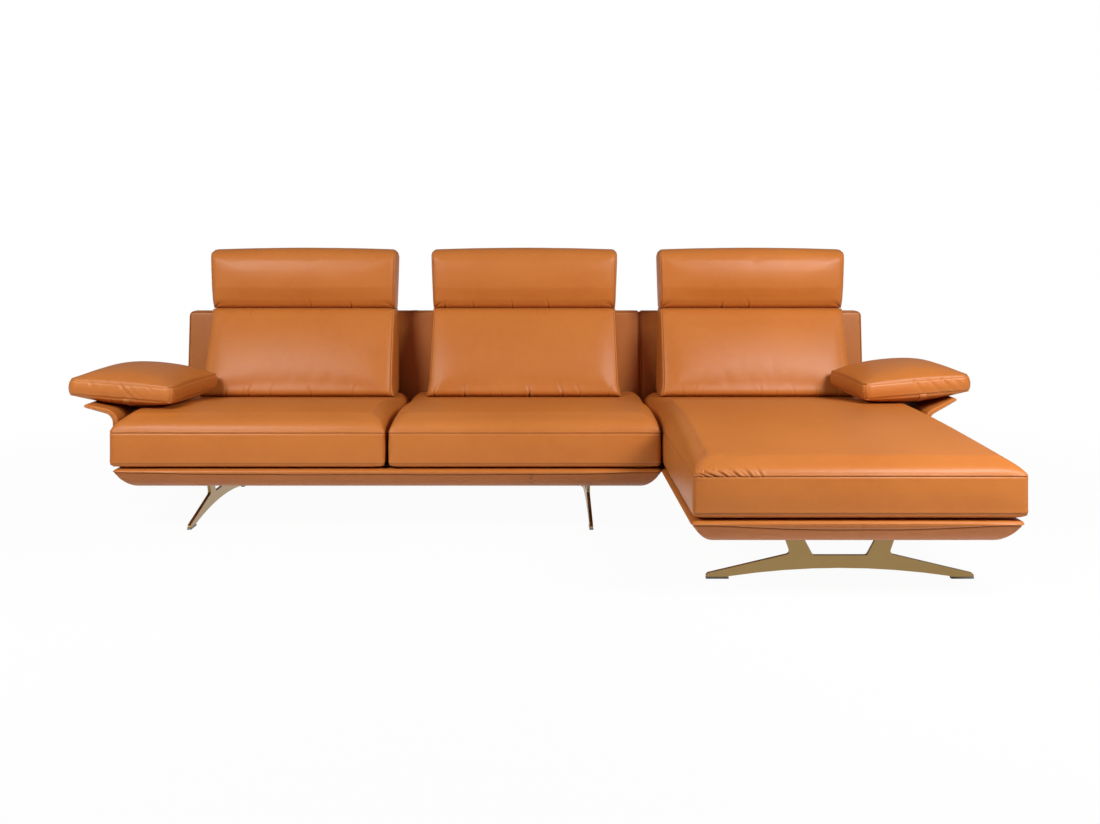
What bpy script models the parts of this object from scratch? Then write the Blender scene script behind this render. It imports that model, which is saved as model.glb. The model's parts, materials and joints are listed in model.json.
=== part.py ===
"""Corner sofa: a two-seat sofa module and a chaise longue module, joined side by side.

Metres, +Z up. The seats face -Y, the chaise longue stands on the +X side, and the origin lies on the floor
under the middle of the whole object. Left and right are as seen from in front.
"""

import math
from dataclasses import dataclass

import bmesh
import bpy
from mathutils import Matrix, Vector
from mathutils.bvhtree import BVHTree

# Clearances
FIT_GAP = 0.0003
REST_GAP = 0.0006
HOLE_PLAY = 0.0005
ROD_PLAY = 0.0006
KNUCKLE_GAP = 0.0005
BRACKET_GAP = 0.001

# Modules
SEAT_WIDTH = 0.951
SEAT_GAP = 0.012
CHAISE_WIDTH = 0.941
MODULE_GAP = 0.007
OVERALL_DEPTH = 1.71
SOFA_SETBACK = 0.76

# Base shells: an upholstered tray with a keel-shaped underside and a pointed lip
BASE_BOTTOM = 0.165
LIP_RISE = 0.063
RIM_RISE = 0.0085
KEEL_RUN = 0.075
BASE_INSET = 0.002
BASE_REAR_INSET = 0.015
BASE_CORNER = 0.016
TRAY_FLOOR = 0.015
RIM_FROM = 0.025
RIM_TO = 0.050
TRAY_INSET = 0.080
KEEL_STEPS = 5

# Timber underframes and webbing
RAIL_WIDTH = 0.050
CROSS_RAIL_WIDTH = 0.070
RAIL_PLAY = 0.003
WEBBING_THICKNESS = 0.005
WEBBING_BEARING = 0.020
STRAP_WIDTH = 0.070
STRAP_PITCH = 0.190

# Seat cushions
SEAM_LOW = 0.014
BOXING_HEIGHT = 0.105
SEAT_CROWN_FRONT = 0.050
SEAT_CROWN_FULL = 0.070
SEAT_CROWN_RISE = 0.250
CHAISE_CROWN_FRONT = 0.040
CHAISE_CROWN_FULL = 0.082
CHAISE_CROWN_RISE = 0.900
CROWN_REAR = 0.052
CROWN_SIDE_RUN = 0.070
CROWN_END_RUN = 0.095
CROWN_FULLNESS = 2.3
CUSHION_CORNER = 0.016
CUSHION_TUCK = 0.020
SIDE_DRAW_IN = 0.004
SEAT_REAR_GAP = 0.010

# Back shells
SHELL_THICKNESS = 0.060
SHELL_LEAN = 0.045
SHELL_DROP = 0.019
SHELL_CORNER = 0.022
SHELL_EDGE = 0.014

# Backrests
BACK_FOOT_WIDTH = 0.766
CREASE_WIDTH = 0.750
HEADREST_TOP_WIDTH = 0.766
BACKREST_GAP = 0.015
BACK_BOTTOM_DEPTH = 0.257
BACK_TOP_DEPTH = 0.100
BACK_HEIGHT = 0.343
BACK_BULGE = 0.016
BACK_SEAT_GAP = 0.001
EDGE_ROUND = 0.022
LEFT_BACKREST_SHIFT = 0.045
MIDDLE_BACKREST_SHIFT = -0.010
CHAISE_BACKREST_SHIFT = -0.028

# Headrests and their hinges
CREASE_GAP = 0.003
HEADREST_HEIGHT = 0.250
HEADREST_DEPTH = 0.124
HEADREST_FOOT_DEPTH = 0.100
HEADREST_ROUND = 0.050
HEADREST_TUCK = 0.012
BARREL_RADIUS = 0.011
ROD_RADIUS = 0.005
ROD_OVERHANG = 0.004
POST_SPACING = 0.280
POST_WIDTH = 0.040
POST_THICKNESS = 0.008
BAR_HEIGHT = 0.035
MIDDLE_BAR_RISE = 0.300
HINGE_ARM_WIDTH = 0.030
HINGE_ARM_THICKNESS = 0.006
HINGE_ARM_LENGTH = 0.150

# Arms
WING_THICKNESS = 0.020
WING_TIP_THICKNESS = 0.012
WING_FOOT_RISE = 0.003
WING_UPRIGHT = 0.153
WING_BEND_RADIUS = 0.045
LEFT_WING_BEND_DEG = 76.0
RIGHT_WING_BEND_DEG = 62.0
LEFT_WING_BLADE = 0.078
RIGHT_WING_BLADE = 0.090
LEFT_WING_SETBACK = 0.083
RIGHT_WING_SETBACK = 0.115
WING_REAR_GAP = 0.025
BRACKET_THICKNESS = WEBBING_THICKNESS
BRACKET_WIDTH = 0.250
BRACKET_HEIGHT = 0.085
ARM_CUSHION_WIDTH = 0.386
ARM_CUSHION_LENGTH = 0.465
LEFT_ARM_OVERHANG = 0.186
RIGHT_ARM_OVERHANG = 0.170
ARM_CUSHION_BACK_GAP = 0.002
ARM_CUSHION_BOXING = 0.050
ARM_CUSHION_CROWN = 0.056
ARM_CUSHION_BELLY = 0.036
ARM_CUSHION_FULLNESS = 0.5
ARM_CUSHION_DRAW_IN = 0.005
ARM_CUSHION_CORNER = 0.030
LEFT_ARM_TILT_DEG = 4.0
RIGHT_ARM_TILT_DEG = 4.8
LEFT_ARM_TURN_DEG = 4.5
RIGHT_ARM_TURN_DEG = 0.5
ARM_DROP_START = 0.200

# Legs: flat antler-shaped plates, their glides and bolts
LEG_LENGTH = 0.815
LEG_THICKNESS = 0.012
LEG_END_INSET = 0.238
SOFA_LEG_SETBACK = 0.108
CHAISE_LEG_SETBACK = 0.265
CHAISE_LEG_SHIFT = 0.012
ARCH_HEIGHT = 0.0325
CROSSBAR_TOP = 0.072
SHOULDER_OUT = 0.151
SHOULDER_HEIGHT = 0.077
RISER_FOOT_IN = 0.082
RISER_TOP_IN = 0.130
RISER_TOP_OUT = 0.181
FOOT_TIP_HEIGHT = 0.018
FOOT_TOE = 0.006
LEG_FILLET = 0.010
GLIDE_LENGTH = 0.069
GLIDE_WIDTH = 0.014
GLIDE_THICKNESS = 0.005
FOOT_UNDERCUT = 0.002
PLATE_LENGTH = 0.090
PLATE_WIDTH = 0.064
PLATE_THICKNESS = 0.005
BOLT_SHANK_RADIUS = 0.004
BOLT_HEAD_RADIUS = 0.0065
BOLT_HEAD_HEIGHT = 0.0055
BOLT_BITE = 0.025
BOLT_OFFSET = 0.020
JOINING_PLATE_WIDTH = 0.050
JOINING_PLATE_END = 0.022
JOINING_FRONT = 0.400
JOINING_REAR = 0.240

# Facets
ROUND_SIDES = 12
ARC_STEPS = 4
EDGE_SAMPLES = 24

# Places along X
SOFA_WIDTH = 2 * SEAT_WIDTH + SEAT_GAP
SPAN = SOFA_WIDTH + MODULE_GAP + CHAISE_WIDTH
SOFA_LEFT = -SPAN / 2
SOFA_RIGHT = SOFA_LEFT + SOFA_WIDTH
CHAISE_LEFT = SOFA_RIGHT + MODULE_GAP
CHAISE_RIGHT = SPAN / 2

# Places along Y
CHAISE_FRONT = -OVERALL_DEPTH / 2
SOFA_FRONT = CHAISE_FRONT + SOFA_SETBACK
REAR = OVERALL_DEPTH / 2
SHELL_FOOT = REAR - SHELL_LEAN - SHELL_THICKNESS
BACKREST_REAR = SHELL_FOOT - BACKREST_GAP
SEAT_REAR = BACKREST_REAR - SEAT_REAR_GAP
BACK_FRONT_FOOT = BACKREST_REAR - BACK_BOTTOM_DEPTH
POST_FRONT = BACKREST_REAR + FIT_GAP
HINGE_Y = POST_FRONT + BARREL_RADIUS + FIT_GAP

# Places along Z
LIP_Z = BASE_BOTTOM + LIP_RISE
RIM_TOP = LIP_Z + RIM_RISE
TRAY_FLOOR_TOP = BASE_BOTTOM + TRAY_FLOOR
RAIL_TOP = RIM_TOP
WEBBING_BOTTOM = RAIL_TOP + FIT_GAP
CUSHION_BOTTOM = WEBBING_BOTTOM + WEBBING_THICKNESS + FIT_GAP
SEAM_BOTTOM = CUSHION_BOTTOM + SEAM_LOW
SEAM_TOP = SEAM_BOTTOM + BOXING_HEIGHT
BACK_BOTTOM = SEAM_TOP + CROWN_REAR + BACK_SEAT_GAP
BACK_TOP = BACK_BOTTOM + BACK_HEIGHT
HINGE_Z = BACK_TOP + CREASE_GAP
SHELL_TOP = HINGE_Z - SHELL_DROP
PLATE_TOP = BASE_BOTTOM - FIT_GAP
PLATE_BOTTOM = PLATE_TOP - PLATE_THICKNESS
FOOT_BOTTOM = GLIDE_THICKNESS + FIT_GAP


@dataclass(frozen=True)
class Module:
    """One free-standing unit of the sofa: its name and its plan."""

    name: str
    left: float
    right: float
    front: float

    @property
    def base(self):
        """Left, right, front and rear of the base shell's lip."""
        return (
            self.left + BASE_INSET,
            self.right - BASE_INSET,
            self.front + BASE_INSET,
            REAR - BASE_REAR_INSET,
        )

    @property
    def frame(self):
        """Left, right, front and rear of the underframe that lies in the tray."""
        left, right, front, rear = self.base
        inset = TRAY_INSET + RAIL_PLAY
        return left + inset, right - inset, front + inset, rear - inset


@dataclass(frozen=True)
class Arm:
    """One side's arm: which side it is on, how its wing bends and starts, and how its pillow lies."""

    name: str
    sign: int
    wing_bend_deg: float
    wing_blade: float
    wing_setback: float
    overhang: float
    tilt_deg: float
    turn_deg: float


@dataclass(frozen=True)
class Seat:
    """The plan of one seat cushion, and its crown above the top seam at the front and where it is full."""

    name: str
    left: float
    right: float
    front: float
    crown_front: float
    crown_full: float
    crown_rise: float

    @property
    def middle(self):
        return (self.left + self.right) / 2

    def crown(self, y):
        """The crown's height: it rises from the front until it is full and falls to the backrest's foot."""
        full_at = self.front + self.crown_rise
        if y < full_at:
            share = max((y - self.front) / self.crown_rise, 0.0)
            return self.crown_front + (self.crown_full - self.crown_front) * math.sin(share * math.pi / 2)
        share = min((y - full_at) / (BACK_FRONT_FOOT - full_at), 1.0)
        return self.crown_full + (CROWN_REAR - self.crown_full) * (1 - math.cos(share * math.pi)) / 2


SOFA = Module("sofa", SOFA_LEFT, SOFA_RIGHT, SOFA_FRONT)
CHAISE = Module("chaise", CHAISE_LEFT, CHAISE_RIGHT, CHAISE_FRONT)
SEAT_CROWNS = (SEAT_CROWN_FRONT, SEAT_CROWN_FULL, SEAT_CROWN_RISE)
CHAISE_CROWNS = (CHAISE_CROWN_FRONT, CHAISE_CROWN_FULL, CHAISE_CROWN_RISE)
LEFT_SEAT = Seat("sofa_seat_cushion_left", SOFA_LEFT, SOFA_LEFT + SEAT_WIDTH, SOFA_FRONT, *SEAT_CROWNS)
RIGHT_SEAT = Seat("sofa_seat_cushion_right", SOFA_RIGHT - SEAT_WIDTH, SOFA_RIGHT, SOFA_FRONT, *SEAT_CROWNS)
CHAISE_SEAT = Seat("chaise_seat_cushion", CHAISE_LEFT, CHAISE_RIGHT, CHAISE_FRONT, *CHAISE_CROWNS)
BACKRESTS = (
    ("left", LEFT_SEAT.middle + LEFT_BACKREST_SHIFT),
    ("middle", RIGHT_SEAT.middle + MIDDLE_BACKREST_SHIFT),
    ("chaise", CHAISE_SEAT.middle + CHAISE_BACKREST_SHIFT),
)
LEFT_WING = (LEFT_WING_BEND_DEG, LEFT_WING_BLADE, LEFT_WING_SETBACK)
RIGHT_WING = (RIGHT_WING_BEND_DEG, RIGHT_WING_BLADE, RIGHT_WING_SETBACK)
LEFT_PILLOW = (LEFT_ARM_OVERHANG, LEFT_ARM_TILT_DEG, LEFT_ARM_TURN_DEG)
RIGHT_PILLOW = (RIGHT_ARM_OVERHANG, RIGHT_ARM_TILT_DEG, RIGHT_ARM_TURN_DEG)
ARMS = (
    (Arm("left", -1, *LEFT_WING, *LEFT_PILLOW), SOFA, LEFT_SEAT),
    (Arm("right", 1, *RIGHT_WING, *RIGHT_PILLOW), CHAISE, CHAISE_SEAT),
)
SOFA_LEG_Y = SOFA_FRONT + SOFA_LEG_SETBACK + LEG_LENGTH / 2
CHAISE_MIDDLE = CHAISE_SEAT.middle
LEGS = (
    ("sofa_left", SOFA, SOFA_LEFT + LEG_END_INSET, SOFA_LEG_Y, 90.0),
    ("sofa_right", SOFA, SOFA_RIGHT - LEG_END_INSET, SOFA_LEG_Y, 90.0),
    ("chaise_front", CHAISE, CHAISE_MIDDLE + CHAISE_LEG_SHIFT, CHAISE_FRONT + CHAISE_LEG_SETBACK, 0.0),
    ("chaise_rear", CHAISE, CHAISE_MIDDLE, SOFA_LEG_Y, 90.0),
)
RISER_TOP_MIDDLE = (RISER_TOP_IN + RISER_TOP_OUT) / 2


# Scene, materials and objects


def clear_scene():
    """Empties the scene, so that only this object is in it."""
    for found in list(bpy.data.objects):
        bpy.data.objects.remove(found)


def make_material(name, colour, roughness, metallic):
    """A Principled material of one colour."""
    made = bpy.data.materials.new(name)
    made.use_nodes = True
    shader = made.node_tree.nodes["Principled BSDF"]
    shader.inputs["Base Color"].default_value = (*colour, 1.0)
    shader.inputs["Roughness"].default_value = roughness
    shader.inputs["Metallic"].default_value = metallic
    made.diffuse_color = (*colour, 1.0)
    return made


def make_materials():
    """Every finish on the sofa, by name."""
    return {
        "leather": make_material("cognac_leather", (0.58, 0.235, 0.070), 0.42, 0.0),
        "bronze": make_material("champagne_bronze", (0.46, 0.35, 0.17), 0.34, 1.0),
        "steel": make_material("black_steel", (0.05, 0.05, 0.052), 0.45, 1.0),
        "zinc": make_material("zinc_plate", (0.62, 0.62, 0.60), 0.35, 1.0),
        "timber": make_material("beech", (0.58, 0.40, 0.23), 0.6, 0.0),
        "webbing": make_material("black_webbing", (0.035, 0.033, 0.032), 0.85, 0.0),
        "felt": make_material("grey_felt", (0.20, 0.20, 0.21), 0.9, 0.0),
    }


def make_object(name, builder, material, parent=None):
    """A named object from a finished bmesh, with its faces turned outwards."""
    bmesh.ops.recalc_face_normals(builder, faces=builder.faces)
    mesh = bpy.data.meshes.new(name)
    builder.to_mesh(mesh)
    builder.free()
    mesh.materials.append(material)
    made = bpy.data.objects.new(name, mesh)
    bpy.context.scene.collection.objects.link(made)
    made.parent = parent
    return made


def make_empty(name, location):
    """An empty that carries a moving piece on its joint's axis."""
    made = bpy.data.objects.new(name, None)
    made.location = location
    bpy.context.scene.collection.objects.link(made)
    return made


def shade_round(made, angle_deg=40.0):
    """Smooth shading that keeps the sharp edges."""
    made.data.shade_smooth()
    made.data.set_sharp_from_angle(angle=math.radians(angle_deg))


def make_cutter(name, builder, parent=None):
    """A hidden helper for a Boolean."""
    made = make_object(name, builder, bpy.data.materials["black_steel"], parent)
    made.hide_render = True
    made.display_type = "WIRE"
    return made


def combine(target, helper, operation):
    """Adds a Boolean of the helper to the target."""
    modifier = target.modifiers.new(f"{operation.lower()}_{helper.name}", "BOOLEAN")
    modifier.operation = operation
    modifier.object = helper


# Shapes


def loft(rings):
    """A solid through rings with the same number of points, closed by a face at each end."""
    builder = bmesh.new()
    rows = [[builder.verts.new(point) for point in ring] for ring in rings]
    count = len(rows[0])
    for low, high in zip(rows, rows[1:]):
        for i in range(count):
            j = (i + 1) % count
            builder.faces.new((low[i], low[j], high[j], high[i]))
    builder.faces.new(rows[0][::-1])
    builder.faces.new(rows[-1])
    return builder


def prism(outline, place, start, end):
    """A flat outline carried from start to end, where place(a, b, along) gives each point."""
    return loft([[place(a, b, along) for a, b in outline] for along in (start, end)])


def box(low, high):
    """A block between two corners."""
    corners = ((low[0], low[1]), (high[0], low[1]), (high[0], high[1]), (low[0], high[1]))
    return prism(corners, lambda a, b, along: (a, b, along), low[2], high[2])


def rod(radius, start, end, middle, axis):
    """A round bar along X or Z. The middle gives the two coordinates that stay the same."""
    angles = [2 * math.pi * i / ROUND_SIDES for i in range(ROUND_SIDES)]
    circle = [(middle[0] + radius * math.cos(a), middle[1] + radius * math.sin(a)) for a in angles]
    if axis == "X":
        return prism(circle, lambda a, b, along: (along, a, b), start, end)
    return prism(circle, lambda a, b, along: (a, b, along), start, end)


def lattice(a_lines, b_lines, filled, place, start, end):
    """A flat grid with windows: filled(i, j) says which cells are solid, and place puts them in space."""
    builder = bmesh.new()
    points = {}

    def corner(i, j):
        if (i, j) not in points:
            points[i, j] = builder.verts.new(place(a_lines[i], b_lines[j], start))
        return points[i, j]

    for i in range(len(a_lines) - 1):
        for j in range(len(b_lines) - 1):
            if filled(i, j):
                builder.faces.new((corner(i, j), corner(i + 1, j), corner(i + 1, j + 1), corner(i, j + 1)))
    travel = Vector(place(0, 0, end)) - Vector(place(0, 0, start))
    extruded = bmesh.ops.extrude_face_region(builder, geom=list(builder.faces), use_keep_orig=True)
    moved = [item for item in extruded["geom"] if isinstance(item, bmesh.types.BMVert)]
    bmesh.ops.translate(builder, verts=moved, vec=travel)
    return builder


def flat_in_plan(a, b, along):
    """Places an outline of X and Y at a height."""
    return a, b, along


def facing_front(a, b, along):
    """Places an outline of X and Z at a depth."""
    return a, along, b


def rounded_plan(left, right, front, rear, radius):
    """A rectangle with rounded corners, anticlockwise."""
    corners = (
        (right - radius, front + radius, -90),
        (right - radius, rear - radius, 0),
        (left + radius, rear - radius, 90),
        (left + radius, front + radius, 180),
    )
    points = []
    for x, y, first in corners:
        for step in range(ARC_STEPS + 1):
            angle = math.radians(first + 90 * step / ARC_STEPS)
            points.append((x + radius * math.cos(angle), y + radius * math.sin(angle)))
    return points


def filleted(points, radius):
    """An outline with each listed corner replaced by an arc. Points are (a, b, is the corner round)."""
    made = []
    for i, (a, b, is_round) in enumerate(points):
        here = Vector((a, b))
        if not is_round:
            made.append((a, b))
            continue
        before = (Vector(points[i - 1][:2]) - here).normalized()
        after = (Vector(points[(i + 1) % len(points)][:2]) - here).normalized()
        half = before.angle(after) / 2
        start = here + before * radius / math.tan(half)
        centre = here + (before + after).normalized() * radius / math.sin(half)
        sweep = (start - centre).angle_signed(here + after * radius / math.tan(half) - centre)
        for step in range(ARC_STEPS + 1):
            turn = Matrix.Rotation(-sweep * step / ARC_STEPS, 2)
            made.append(tuple(centre + turn @ (start - centre)))
    return made


def swell(distance, run):
    """How far a stuffed top has risen at a distance from its seam, 0 to 1: a full round, then level."""
    level = 1 - min(max(distance / run, 0.0), 1.0)
    return (1 - level**CROWN_FULLNESS) ** (1 / CROWN_FULLNESS)


def spread_lines(length, steps):
    """Grid lines across a length at these steps from both ends, with one in the middle."""
    near = [step for step in steps if step < length / 2]
    return [*near, length / 2, *(length - step for step in reversed(near))]


def pad(lines, draw_in, corner, top, levels, bottom=None):
    """A boxed cushion on a grid of X and Y lines.

    The sides bow in by draw_in between the corners. top(x, y) gives the height of the upper panel, levels
    lists (inset, height) of the rings below its seam, and bottom(x, y), if any, shapes the lower panel.
    """
    x_lines, y_lines = lines
    middle = (x_lines[-1] + x_lines[0]) / 2, (y_lines[-1] + y_lines[0]) / 2
    half = (x_lines[-1] - x_lines[0]) / 2, (y_lines[-1] - y_lines[0]) / 2
    cut = corner * (1 - math.sqrt(0.5))

    def plan(x, y, inset=0.0):
        u, v = (x - middle[0]) / half[0], (y - middle[1]) / half[1]
        at_corner = cut if min(abs(u), abs(v)) > 1 - 1e-6 else 0.0
        shrunk_x = half[0] - inset - at_corner - draw_in * (1 - v * v)
        shrunk_y = half[1] - inset - at_corner - draw_in * (1 - u * u)
        return middle[0] + u * shrunk_x, middle[1] + v * shrunk_y

    columns, rows = len(x_lines) - 1, len(y_lines) - 1
    border = [(i, 0) for i in range(columns)] + [(columns, j) for j in range(rows)]
    border += [(i, rows) for i in range(columns, 0, -1)] + [(0, j) for j in range(rows, 0, -1)]
    builder = bmesh.new()

    def panel(height, inset):
        grid = {}
        for i, x in enumerate(x_lines):
            for j, y in enumerate(y_lines):
                grid[i, j] = builder.verts.new((*plan(x, y, inset), height(x, y)))
        for i in range(columns):
            for j in range(rows):
                builder.faces.new((grid[i, j], grid[i + 1, j], grid[i + 1, j + 1], grid[i, j + 1]))
        return [grid[key] for key in border]

    loops = [panel(top, 0.0)]
    for inset, height in levels:
        places = [(*plan(x_lines[i], y_lines[j], inset), height) for i, j in border]
        loops.append([builder.verts.new(place) for place in places])
    if bottom:
        loops.append(panel(bottom, 0.0))
    else:
        builder.faces.new(loops[-1])
    for upper, lower in zip(loops, loops[1:]):
        for i in range(len(border)):
            j = (i + 1) % len(border)
            builder.faces.new((upper[i], upper[j], lower[j], lower[i]))
    return builder


# Base, underframe and webbing of a module


def make_base_shell(module, leather):
    """The upholstered tray: keel-shaped outside, a pointed lip all round, hollow for the underframe."""
    left, right, front, rear = module.base

    def ring(inset, height):
        radius = max(BASE_CORNER - inset, BASE_CORNER / 3)
        plan = rounded_plan(left + inset, right - inset, front + inset, rear - inset, radius)
        return [(x, y, height) for x, y in plan]

    rings = []
    for step in range(KEEL_STEPS + 1):
        share = step / KEEL_STEPS
        rings.append(ring(KEEL_RUN * (1 - share), BASE_BOTTOM + LIP_RISE * share**2))
    rings.append(ring(RIM_FROM * 0.2, LIP_Z + RIM_RISE * 0.6))
    rings.append(ring(RIM_FROM * 0.6, LIP_Z + RIM_RISE * 0.92))
    rings.append(ring(RIM_FROM, RIM_TOP))
    rings.append(ring(RIM_TO, RIM_TOP))
    rings.append(ring(TRAY_INSET, TRAY_FLOOR_TOP))
    made = make_object(f"{module.name}_base_shell", loft(rings), leather)
    shade_round(made, 30.0)
    return made


def make_underframe(module, cross_rails, timber):
    """The timber frame in the tray: a rectangle of rails, and cross rails given as (axis, place)."""
    left, right, front, rear = module.frame
    x_lines = [left, left + RAIL_WIDTH, right - RAIL_WIDTH, right]
    y_lines = [front, front + RAIL_WIDTH, rear - RAIL_WIDTH, rear]
    half = CROSS_RAIL_WIDTH / 2
    for axis, place in cross_rails:
        (x_lines if axis == "X" else y_lines).extend((place - half, place + half))
    x_lines.sort()
    y_lines.sort()

    def solid_at(lines, i, axis):
        middle = (lines[i] + lines[i + 1]) / 2
        at_edge = i == 0 or i == len(lines) - 2
        return at_edge or any(a == axis and abs(middle - place) < half for a, place in cross_rails)

    def filled(i, j):
        return solid_at(x_lines, i, "X") or solid_at(y_lines, j, "Y")

    bottom = TRAY_FLOOR_TOP + FIT_GAP
    shape = lattice(x_lines, y_lines, filled, flat_in_plan, bottom, RAIL_TOP)
    return make_object(f"{module.name}_underframe", shape, timber)


def make_webbing(module, fabric):
    """The net of elastic straps that lies on the rails and carries the seat cushions."""
    left, right, front, rear = module.frame
    inset = RAIL_WIDTH - WEBBING_BEARING

    def strap_lines(low, high):
        count = round((high - low - STRAP_WIDTH) / STRAP_PITCH)
        pitch = (high - low - STRAP_WIDTH) / count
        starts = [low + pitch * i for i in range(count + 1)]
        return [line for start in starts for line in (start, start + STRAP_WIDTH)]

    x_lines = strap_lines(left + inset, right - inset)
    y_lines = strap_lines(front + inset, rear - inset)

    def filled(i, j):
        return i % 2 == 0 or j % 2 == 0

    top = WEBBING_BOTTOM + WEBBING_THICKNESS
    shape = lattice(x_lines, y_lines, filled, flat_in_plan, WEBBING_BOTTOM, top)
    return make_object(f"{module.name}_webbing", shape, fabric)


# Seats, back shells and backrests


def make_seat_cushion(seat, leather):
    """A boxed seat cushion: the crown is round behind the seam, rises from the front, falls at the back."""

    def top(x, y):
        side = swell(x - seat.left, CROWN_SIDE_RUN) * swell(seat.right - x, CROWN_SIDE_RUN)
        ends = swell(y - seat.front, CROWN_END_RUN) * swell(SEAT_REAR - y, CROWN_END_RUN)
        return SEAM_TOP + seat.crown(y) * side * ends

    steps = (0.0, CUSHION_CORNER, 0.04, 0.08, 0.15, 0.27)
    x_lines = [seat.left + line for line in spread_lines(seat.right - seat.left, steps)]
    y_lines = [seat.front + line for line in spread_lines(SEAT_REAR - seat.front, (*steps, 0.40))]
    levels = (
        (0.0, (SEAM_TOP + SEAM_BOTTOM) / 2),
        (0.0, SEAM_BOTTOM),
        (CUSHION_TUCK * 0.35, CUSHION_BOTTOM + SEAM_LOW * 0.35),
        (CUSHION_TUCK, CUSHION_BOTTOM),
    )
    shape = pad((x_lines, y_lines), SIDE_DRAW_IN, CUSHION_CORNER, top, levels)
    made = make_object(seat.name, shape, leather)
    shade_round(made)
    return made


def make_back_shell(module, leather):
    """The low upholstered panel behind the backrests. It stands on the base shell's rim and leans back."""
    bottom = RIM_TOP + FIT_GAP

    def ring(inset, depth):
        sides = module.left + inset, module.right - inset
        plan = rounded_plan(*sides, bottom + inset, SHELL_TOP - inset, SHELL_CORNER)
        lean = SHELL_LEAN / (SHELL_TOP - bottom)
        return [(x, SHELL_FOOT + depth + (z - bottom) * lean, z) for x, z in plan]

    rings = [
        ring(SHELL_EDGE, 0.0),
        ring(SHELL_EDGE * 0.3, SHELL_EDGE * 0.3),
        ring(0.0, SHELL_EDGE),
        ring(0.0, SHELL_THICKNESS - SHELL_EDGE),
        ring(SHELL_EDGE * 0.3, SHELL_THICKNESS - SHELL_EDGE * 0.3),
        ring(SHELL_EDGE, SHELL_THICKNESS),
    ]
    made = make_object(f"{module.name}_back_shell", loft(rings), leather)
    shade_round(made, 30.0)
    return made


def side_stations(width):
    """Places across a backrest and how far its front edge is rounded off there."""
    half = width / 2
    curve = ((0.0, 1.0), (EDGE_ROUND * 0.3, 0.35), (EDGE_ROUND * 1.2, 0.0), (half * 0.5, 0.0))
    ends = [(half - inward, share) for inward, share in curve]
    left = [(-x, share * EDGE_ROUND) for x, share in ends]
    return [*left, (0.0, 0.0), *((x, share * EDGE_ROUND) for x, share in reversed(ends))]


def taper(height, low, high, low_width, high_width):
    """How wide a backrest is at a height, as a share of the crease's width."""
    share = (height - low) / (high - low)
    return (low_width + (high_width - low_width) * share) / CREASE_WIDTH


def make_back_cushion(name, middle, leather):
    """The wedge-shaped cushion that stands on the seat and leans on its frame."""

    def section(x, rounding):
        slope = BACK_BOTTOM_DEPTH - BACK_TOP_DEPTH
        top = BACK_TOP - rounding
        outline = [(0.0, BACK_BOTTOM), (0.0, top), (BACK_TOP_DEPTH - EDGE_ROUND, top)]
        for share in (0.06, 0.2, 0.4, 0.6, 0.8, 0.94):
            depth = BACK_TOP_DEPTH + slope * share + BACK_BULGE * math.sin(math.pi * share)
            outline.append((depth - rounding, BACK_TOP - BACK_HEIGHT * share))
        outline.append((BACK_BOTTOM_DEPTH - EDGE_ROUND - rounding, BACK_BOTTOM))
        points = []
        for depth, height in outline:
            scale = taper(height, BACK_BOTTOM, BACK_TOP, BACK_FOOT_WIDTH, CREASE_WIDTH)
            points.append((x * scale, BACKREST_REAR - depth, height))
        return points

    shape = loft([section(x, rounding) for x, rounding in side_stations(CREASE_WIDTH)])
    made = make_object(f"back_cushion_{name}", shape, leather)
    made.location.x = middle
    shade_round(made)
    return made


def make_headrest(name, axis, leather):
    """The headrest above the crease, modelled round its hinge axis."""
    rear = BACKREST_REAR - HINGE_Y

    def section(x, rounding):
        top = HEADREST_HEIGHT - rounding
        outline = [(0.0, 0.0), (0.0, top - HEADREST_ROUND)]
        for step in range(1, ARC_STEPS * 2):
            angle = math.pi * step / (ARC_STEPS * 2)
            reach = HEADREST_DEPTH - rounding
            depth = reach / 2 * (1 - math.cos(angle))
            outline.append((depth, top - HEADREST_ROUND + HEADREST_ROUND * math.sin(angle)))
        outline.append((HEADREST_DEPTH - rounding, HEADREST_HEIGHT * 0.62))
        outline.append((HEADREST_DEPTH - rounding, HEADREST_HEIGHT * 0.36))
        outline.append((HEADREST_FOOT_DEPTH + HEADREST_TUCK - rounding, HEADREST_HEIGHT * 0.10))
        outline.append((HEADREST_FOOT_DEPTH - HEADREST_TUCK - rounding, 0.0))
        points = []
        for depth, height in outline:
            scale = taper(height, 0.0, HEADREST_HEIGHT, CREASE_WIDTH, HEADREST_TOP_WIDTH)
            points.append((x * scale, rear - depth, height))
        return points

    shape = loft([section(x, rounding) for x, rounding in side_stations(CREASE_WIDTH)])
    made = make_object(f"headrest_{name}", shape, leather, axis)
    shade_round(made)
    return made


def make_back_frame(name, middle, steel):
    """The steel frame behind a backrest: two posts on the rear rail, two bars and two hinge knuckles."""
    inner, outer = (POST_SPACING - POST_WIDTH) / 2, (POST_SPACING + POST_WIDTH) / 2
    foot = RAIL_TOP + FIT_GAP
    middle_bar = foot + MIDDLE_BAR_RISE
    z_lines = [foot, foot + BAR_HEIGHT, middle_bar, middle_bar + BAR_HEIGHT, HINGE_Z]
    x_lines = [-outer, -inner, inner, outer]

    def filled(i, j):
        return i != 1 or j in (0, 2)

    shape = lattice(x_lines, z_lines, filled, facing_front, POST_FRONT, POST_FRONT + POST_THICKNESS)
    made = make_object(f"back_frame_{name}", shape, steel)
    made.location.x = middle
    for side, sign in (("left", -1), ("right", 1)):
        ends = sorted((sign * inner, sign * outer))
        barrel = rod(BARREL_RADIUS, *ends, (HINGE_Y, HINGE_Z), "X")
        combine(made, place_at(make_cutter(f"knuckle_{name}_{side}", barrel), middle), "UNION")
    bore_hinge(made, name, middle)
    return made


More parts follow.
